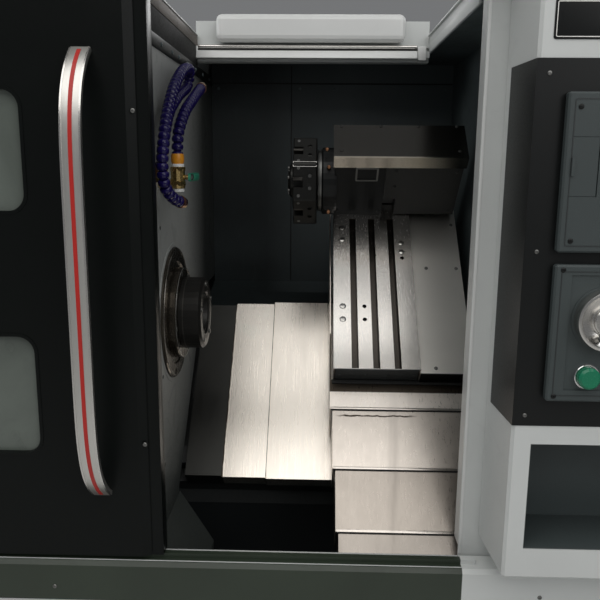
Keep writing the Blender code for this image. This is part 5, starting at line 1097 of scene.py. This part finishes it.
def buildWalls():
    x = wall["x"]
    put("wallFlange", box((x - 0.0004, x + 0.0022), (-0.508, 0.163), (1.5930, 1.6134), 0.0004), "blackPaint")
    marks = [discForm("X", (0.0, y, z), x - 0.0004, x + 0.0005, 0.0034, 0.0001, 20) for y, z in wall["marks"]]
    put("wallMarks", marks, "rubber")
    places = [(x + 0.0022, y, wall["screwZ"]) for y in wall["screwsY"]]
    spread("wallScrews", "button", places, towardRight, 0.0040, "sideBlack")
    for name, across, z, edge, look in (
        ("roofEdgePanel", (-0.2398, -0.2372), (1.6145, 1.6585), 0.0004, "rubber"),
        ("roofEdgeSeal", (-0.2398, -0.2362), (1.6585, 1.6795), 0.0008, "brownSeal"),
        ("roofEdgeStrip", (-0.2550, -0.2345), (1.6806, 1.6830), 0.0006, "whitePaint"),
    ):
        put(name, box(across, wall["roofY"], z, edge), look)
    profile = [(x - 0.0002, 0.1190), (x - 0.0002, 0.1262), (x + 0.0012, 0.1256), (x + 0.0012, 0.1190)]
    collar = turnedForm(profile, "X", (0.0, spindle["s"], spindle["n"]), 72, True, True)
    put("wallCollar", collar, "shadedWallPaint")
    joints = [
        box((-0.0412, -0.0388), (0.1636, 0.1652), (1.125, 1.640), 0.0003),
        box((-0.230, 0.343), (0.1634, 0.1652), (1.5985, 1.6015), 0.0003),
    ]
    put("backWallJoints", joints, "rubber")
    places = [(across, wall["backY"], z) for across, z in wall["backScrews"]]
    spread("backWallScrews", "button", places, towardFront, 0.0036, "sideBlack")
    put("wallFrontEdge", prism(rectangle((-0.5100, -0.5075), (0.7960, 1.5925)), "X", x - 0.0002, x + 0.0010),
        "darkSteel")
    edges = [
        box((0.2585, 0.2620), wall["rightRoofY"], (1.6460, 1.6640), 0.0005),
        box((0.2560, 0.2625), wall["rightRoofY"], (1.6800, 1.6835), 0.0006),
    ]
    put("rightRoofEdge", edges, "whitePaint")


buildWalls()

# Trim of the rear beam: a band under a round rail, with a dark gap between and a block at each end
beam = dict(x=(-0.236, 0.232), railY=-0.0080, railZ=1.6578, railRadius=0.0043)


def buildBeam():
    profile = [(-0.0105, 1.6500), (-0.0165, 1.6478), (-0.0270, 1.6345), (-0.0270, 1.6325), (-0.0105, 1.6325)]
    put("beamBand", prism(profile, "X", *beam["x"], 0.0005), "lampWhite")
    ends = [(x, beam["railY"], beam["railZ"]) for x in beam["x"]]
    put("beamRail", tubeForm(ends, beam["railRadius"], 24), "brightSteel")
    put("beamShadow", box((-0.237, 0.234), (-0.0105, 0.0038), (1.6500, 1.6530)), "rubber")
    blocks = [
        box((0.2345, 0.2520), (-0.0160, 0.0045), (1.6300, 1.6590), 0.0014),
        box((-0.2385, -0.2340), (-0.0150, 0.0045), (1.6320, 1.6585), 0.0012),
    ]
    put("beamBlocks", blocks, "lampWhite")


buildBeam()
print("walls and beam done")

# Post and control pod. Keys have their first centre, pitch, rows and columns, and half size.
pod = dict(
    front=-0.665, insetFront=-0.666, unitFace=-0.6803, field=-0.6783, stop=(0.6850, 1.1480),
    start=(0.3865, 1.1425),
    wheel=(0.403, 1.2205), crank=(0.394, 1.1995), knobs=((0.552, 1.142), (0.600, 1.142)),
    insetZ=(1.529, 1.306, 1.082),
    insetX=(0.3135, 0.862), keyEdge=0.0008,
    sideKeys=((0.640, 1.470), (0.026, 0.0265), (6, 3), (0.0095, 0.0095)),
    lowKeys=((0.416, 1.3145), (0.026, 0.0), (1, 8), (0.0090, 0.0045)),
    panelKeys=((0.470, 1.262), (0.024, 0.0225), (5, 7), (0.0092, 0.0085)),
)


def keyCaps(keys, front, back):
    (x, z), (pitchX, pitchZ), (rows, columns), (w, h) = keys
    caps = []
    for row in range(rows):
        for column in range(columns):
            px, pz = x + column * pitchX, z - row * pitchZ
            caps.append(box((px - w, px + w), (front, back), (pz - h, pz + h), pod["keyEdge"]))
    return caps


def buildPod():
    face = pod["unitFace"]
    field = pod["field"]
    put("postEdge", box((0.2610, 0.2648), (-0.5458, -0.5440), (0.8020, 1.7000), 0.0003), "lampWhite")
    places = [(x, pod["insetFront"] - 0.0001, z) for x in pod["insetX"] for z in pod["insetZ"]]
    spread("insetScrews", "button", places, towardFront, 0.0031)
    places = [(x, face, z) for x in (0.3505, 0.7200) for z in (1.488, 1.322)]
    places += [(x, face, z) for x in (0.3450, 0.7270) for z in (1.2845, 1.1145)]
    spread("unitScrews", "pan", places, towardFront, 0.0034, "blackPaint")
    # blank plate above the units
    plate = roundedOutline((0.315, 0.470), (1.569, 1.616), 0.003)
    put("blankPlate", prism(plate, "Y", pod["front"] - 0.0012, pod["front"] + 0.0005, 0.0003), "blackPaint")
    rim = frameForm((0.3175, 0.4675), (1.5715, 1.6135), 0.002, 0.0010, pod["front"] - 0.0015,
                    pod["front"] - 0.0010)
    put("blankPlateRim", rim, "aluminium")
    # screen, its bezel and the keys
    screen = roundedOutline((0.404, 0.610), (1.330, 1.484), 0.003)
    put("screen", prism(screen, "Y", face + 0.0014, face + 0.0036), "screenGlass")
    put("screenBezel",
        frameForm((0.3985, 0.6155), (1.3245, 1.4895), 0.005, 0.0055, face - 0.0012, face + 0.0020), "keyDark")
    caps = [cap for keys in ("sideKeys", "lowKeys")
            for cap in keyCaps(pod[keys], face - 0.0022, face + 0.0006)]
    put("displayKeys", caps, "keyGrey")
    put("panelKeys", keyCaps(pod["panelKeys"], field - 0.0020, field + 0.0006), "keyGrey")
    rims = []
    for node in ("display_unit", "operator_panel"):
        low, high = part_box(node)
        x = (low[0] + 0.008, high[0] - 0.008)
        z = (low[2] + 0.008, high[2] - 0.008)
        rims.append(frameForm(x, z, 0.003, 0.0012, face - 0.0005, face + 0.0018))
    put("unitRims", rims, "keyDark")

    # a form turned round a point of the field, from heights above the field and radii
    def onField(points, place, steps, closed=True):
        return turnedForm([(field - out, radius) for out, radius in points], "Y", (place[0], 0.0, place[1]),
                          steps, closed)

    ring = [(0.0, 0.0195), (0.0, 0.0232), (0.0014, 0.0232), (0.0018, 0.0226), (0.0018, 0.0195)]
    put("stopRing", onField(ring, pod["stop"], 40), "stopYellow")
    ring = [(0.0, 0.0149), (0.0, 0.0172), (0.0042, 0.0168), (0.0050, 0.0160), (0.0050, 0.0149)]
    put("startRing", onField(ring, pod["start"], 40), "chrome")
    ring = [(-0.0002, 0.0118), (-0.0002, 0.0425), (0.0013, 0.0425), (0.0013, 0.0118)]
    put("wheelDial", onField(ring, pod["wheel"], 64), "unitGrey")
    # the wheel's dish with the post of its crank
    dish = turnedForm(
        [(-0.6805, 0.0), (-0.6805, 0.0396), (-0.6960, 0.0399), (-0.6976, 0.0393), (-0.6982, 0.0380),
         (-0.6980, 0.0352),
         (-0.6966, 0.0338), (-0.6926, 0.0204), (-0.6932, 0.0190), (-0.6968, 0.0184), (-0.6980, 0.0170),
         (-0.6982, 0.0052), (-0.6976, 0.0044), (-0.6940, 0.0042), (-0.6940, 0.0)],
        "Y", (pod["wheel"][0], 0.0, pod["wheel"][1]), 72,
    )
    crank = (pod["crank"][0], 0.0, pod["crank"][1])
    post = discForm("Y", crank, -0.6925, -0.7008, 0.0040, 0.0004, 24)
    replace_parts(put("wheelDish", [dish, post], "brightSteel", "wheel"), "handwheel")
    put("crankKnob", discForm("Y", crank, -0.7000, -0.7118, 0.0052, 0.0012, 24), "keyDark", "wheel")
    # rotary switches in the free part of the panel
    profile = [(0.0, 0.0), (0.0, 0.011), (0.003, 0.011), (0.004, 0.0085), (0.012, 0.0078), (0.013, 0.0)]
    knobs = []
    for x, z in pod["knobs"]:
        knobs.append(onField(profile, (x, z), 32, False))
        knobs.append(box((x - 0.0012, x + 0.0012), (field - 0.0138, field - 0.011), (z, z + 0.0074), 0.0004))
    put("panelKnobs", knobs, "keyDark")
    # mat of the niche, and its walls lined dark as painted shade in the recess
    put("nicheMat", box((0.3255, 0.8145), (-0.6640, -0.5660), (0.8822, 0.8836), 0.0004), "unitGrey")
    walls = [
        box((0.3252, 0.3262), (-0.6640, -0.5655), (0.8836, 1.0395)),
        box((0.8138, 0.8148), (-0.6640, -0.5655), (0.8836, 1.0395)),
        box((0.3262, 0.8138), (-0.5662, -0.5652), (0.8836, 1.0395)),
        box((0.3262, 0.8138), (-0.6640, -0.5662), (1.0388, 1.0398)),
    ]
    put("nicheLining", walls, "unitGrey")


buildPod()
print("pod done")

# Outer body. Panels are given by their two spans, screws by the places along both.
shell = dict(
    sides=dict(left=(-0.900, -1.0), right=(0.900, 1.0)), rear=0.560, baseFront=-0.588, seam=0.0022,
    screw=0.0050,
    basePanels=(((-0.870, -0.430), (0.120, 0.690)), ((0.430, 0.870), (0.120, 0.690)),
                ((-0.400, 0.400), (0.400, 0.690))),
    tankPanel=((-0.3925, 0.3925), (0.098, 0.3975)),
    sidePanels=(((-0.440, 0.520), (0.800, 1.620)), ((-0.540, 0.520), (0.110, 0.700))),
    rearPanels=(((-0.860, 0.100), (0.790, 1.640)), ((-0.860, 0.860), (0.120, 0.700))),
    roofPanels=(((-0.870, -0.285), (-0.460, 0.500)), ((0.305, 0.870), (-0.460, 0.500))),
    baseScrews=(((-0.855, -0.445, 0.445, 0.855), (0.140, 0.405, 0.670)),),
    sideScrews=(((-0.420, 0.040, 0.500), (0.825, 1.210, 1.600)), ((-0.520, 0.0, 0.500), (0.135, 0.675))),
    rearScrews=(((-0.840, -0.380, 0.080), (0.815, 1.215, 1.615)),
                ((-0.840, -0.280, 0.280, 0.840), (0.145, 0.675))),
    roofScrews=(((-0.850, -0.578, -0.305, 0.325, 0.588, 0.850), (-0.440, 0.020, 0.480)),),
    slats=12, slatPitch=0.022, slatsFrom=0.220, slatsY=(0.160, 0.420),
    cabinetBack=0.712, grilleSlots=14, grillePitch=0.012, grilleFrom=0.850, latch=(0.190, 1.190),
)


def grid(name):
    return [(a, b) for first, second in shell[name] for a in first for b in second]


def panels(name, start, end, along="Y", radius=0.008):
    return [frameForm(a, b, radius, shell["seam"], start, end, along) for a, b in shell[name]]


def buildShell():
    front = shell["baseFront"]
    size = shell["screw"]
    seams = panels("basePanels", front - 0.0007, front + 0.0012, radius=0.006)
    seams.append(frameForm(*shell["tankPanel"], 0.002, 0.0018, front - 0.0007, front + 0.0012))
    put("baseSeams", seams, "rubber")
    spread("baseScrews", "button", [(x, front, z) for x, z in grid("baseScrews")], towardFront, size)
    # side panels with vents
    for name, (x, facing) in shell["sides"].items():
        put(name + "Seams", panels("sidePanels", x - 0.0012 * facing, x + 0.0007 * facing, "X"), "rubber")
        spots = [(x, y, z) for y, z in grid("sideScrews")]
        spread(name + "Screws", "button", spots, (facing, 0.0, 0.0), size)
        inner, outer = x - 0.0010 * facing, x + 0.0008 * facing
        slats = []
        for i in range(shell["slats"]):
            z = shell["slatsFrom"] + i * shell["slatPitch"]
            slats.append(prism([(inner, z), (outer, z + 0.003), (outer, z + 0.012), (inner, z + 0.014)], "Y",
                               *shell["slatsY"], 0.0003))
        put(name + "Louvres", slats, "whitePaint")
        shade = box((x - 0.0006 * facing, x + 0.0004 * facing), (0.150, 0.430), (0.210, 0.490))
        put(name + "VentShade", shade, "rubber")
    rear = shell["rear"]
    put("rearSeams", panels("rearPanels", rear - 0.0010, rear + 0.0010), "rubber")
    spread("rearScrews", "button", [(x, rear, z) for x, z in grid("rearScrews")], towardBack, size)
    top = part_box("left_enclosure")[1][2]
    put("roofSeams", panels("roofPanels", top - 0.0012, top + 0.0008, "Z"), "rubber")
    spread("roofScrews", "button", [(x, y, top) for x, y in grid("roofScrews")], upward, size)
    # electrical cabinet
    back = shell["cabinetBack"]
    x, z = shell["latch"]
    latch = [
        discForm("Y", (x, 0.0, z), back - 0.0032, back - 0.0002, 0.0116, 0.0008, 32),
        box((0.1885, 0.1915), (back - 0.0030, back - 0.0001), (1.1815, 1.1985), 0.0004),
    ]
    put("cabinetLatch", latch, "chrome", "rear_door")
    seam = frameForm((0.156, 0.844), (0.786, 1.594), 0.004, 0.0018, back - 0.0012, back - 0.0001)
    put("cabinetSeam", seam, "keyGrey", "rear_door")
    # the grille's slots are drawn as dark strips, as painted shade in the openings
    slots = []
    for i in range(shell["grilleSlots"]):
        z = shell["grilleFrom"] + i * shell["grillePitch"]
        slots.append(box((0.420, 0.580), (back - 0.0008, back - 0.0001), (z, z + 0.005), 0.0002))
    put("cabinetGrille", slots, "rubber", "rear_door")


buildShell()
print("outer body done")
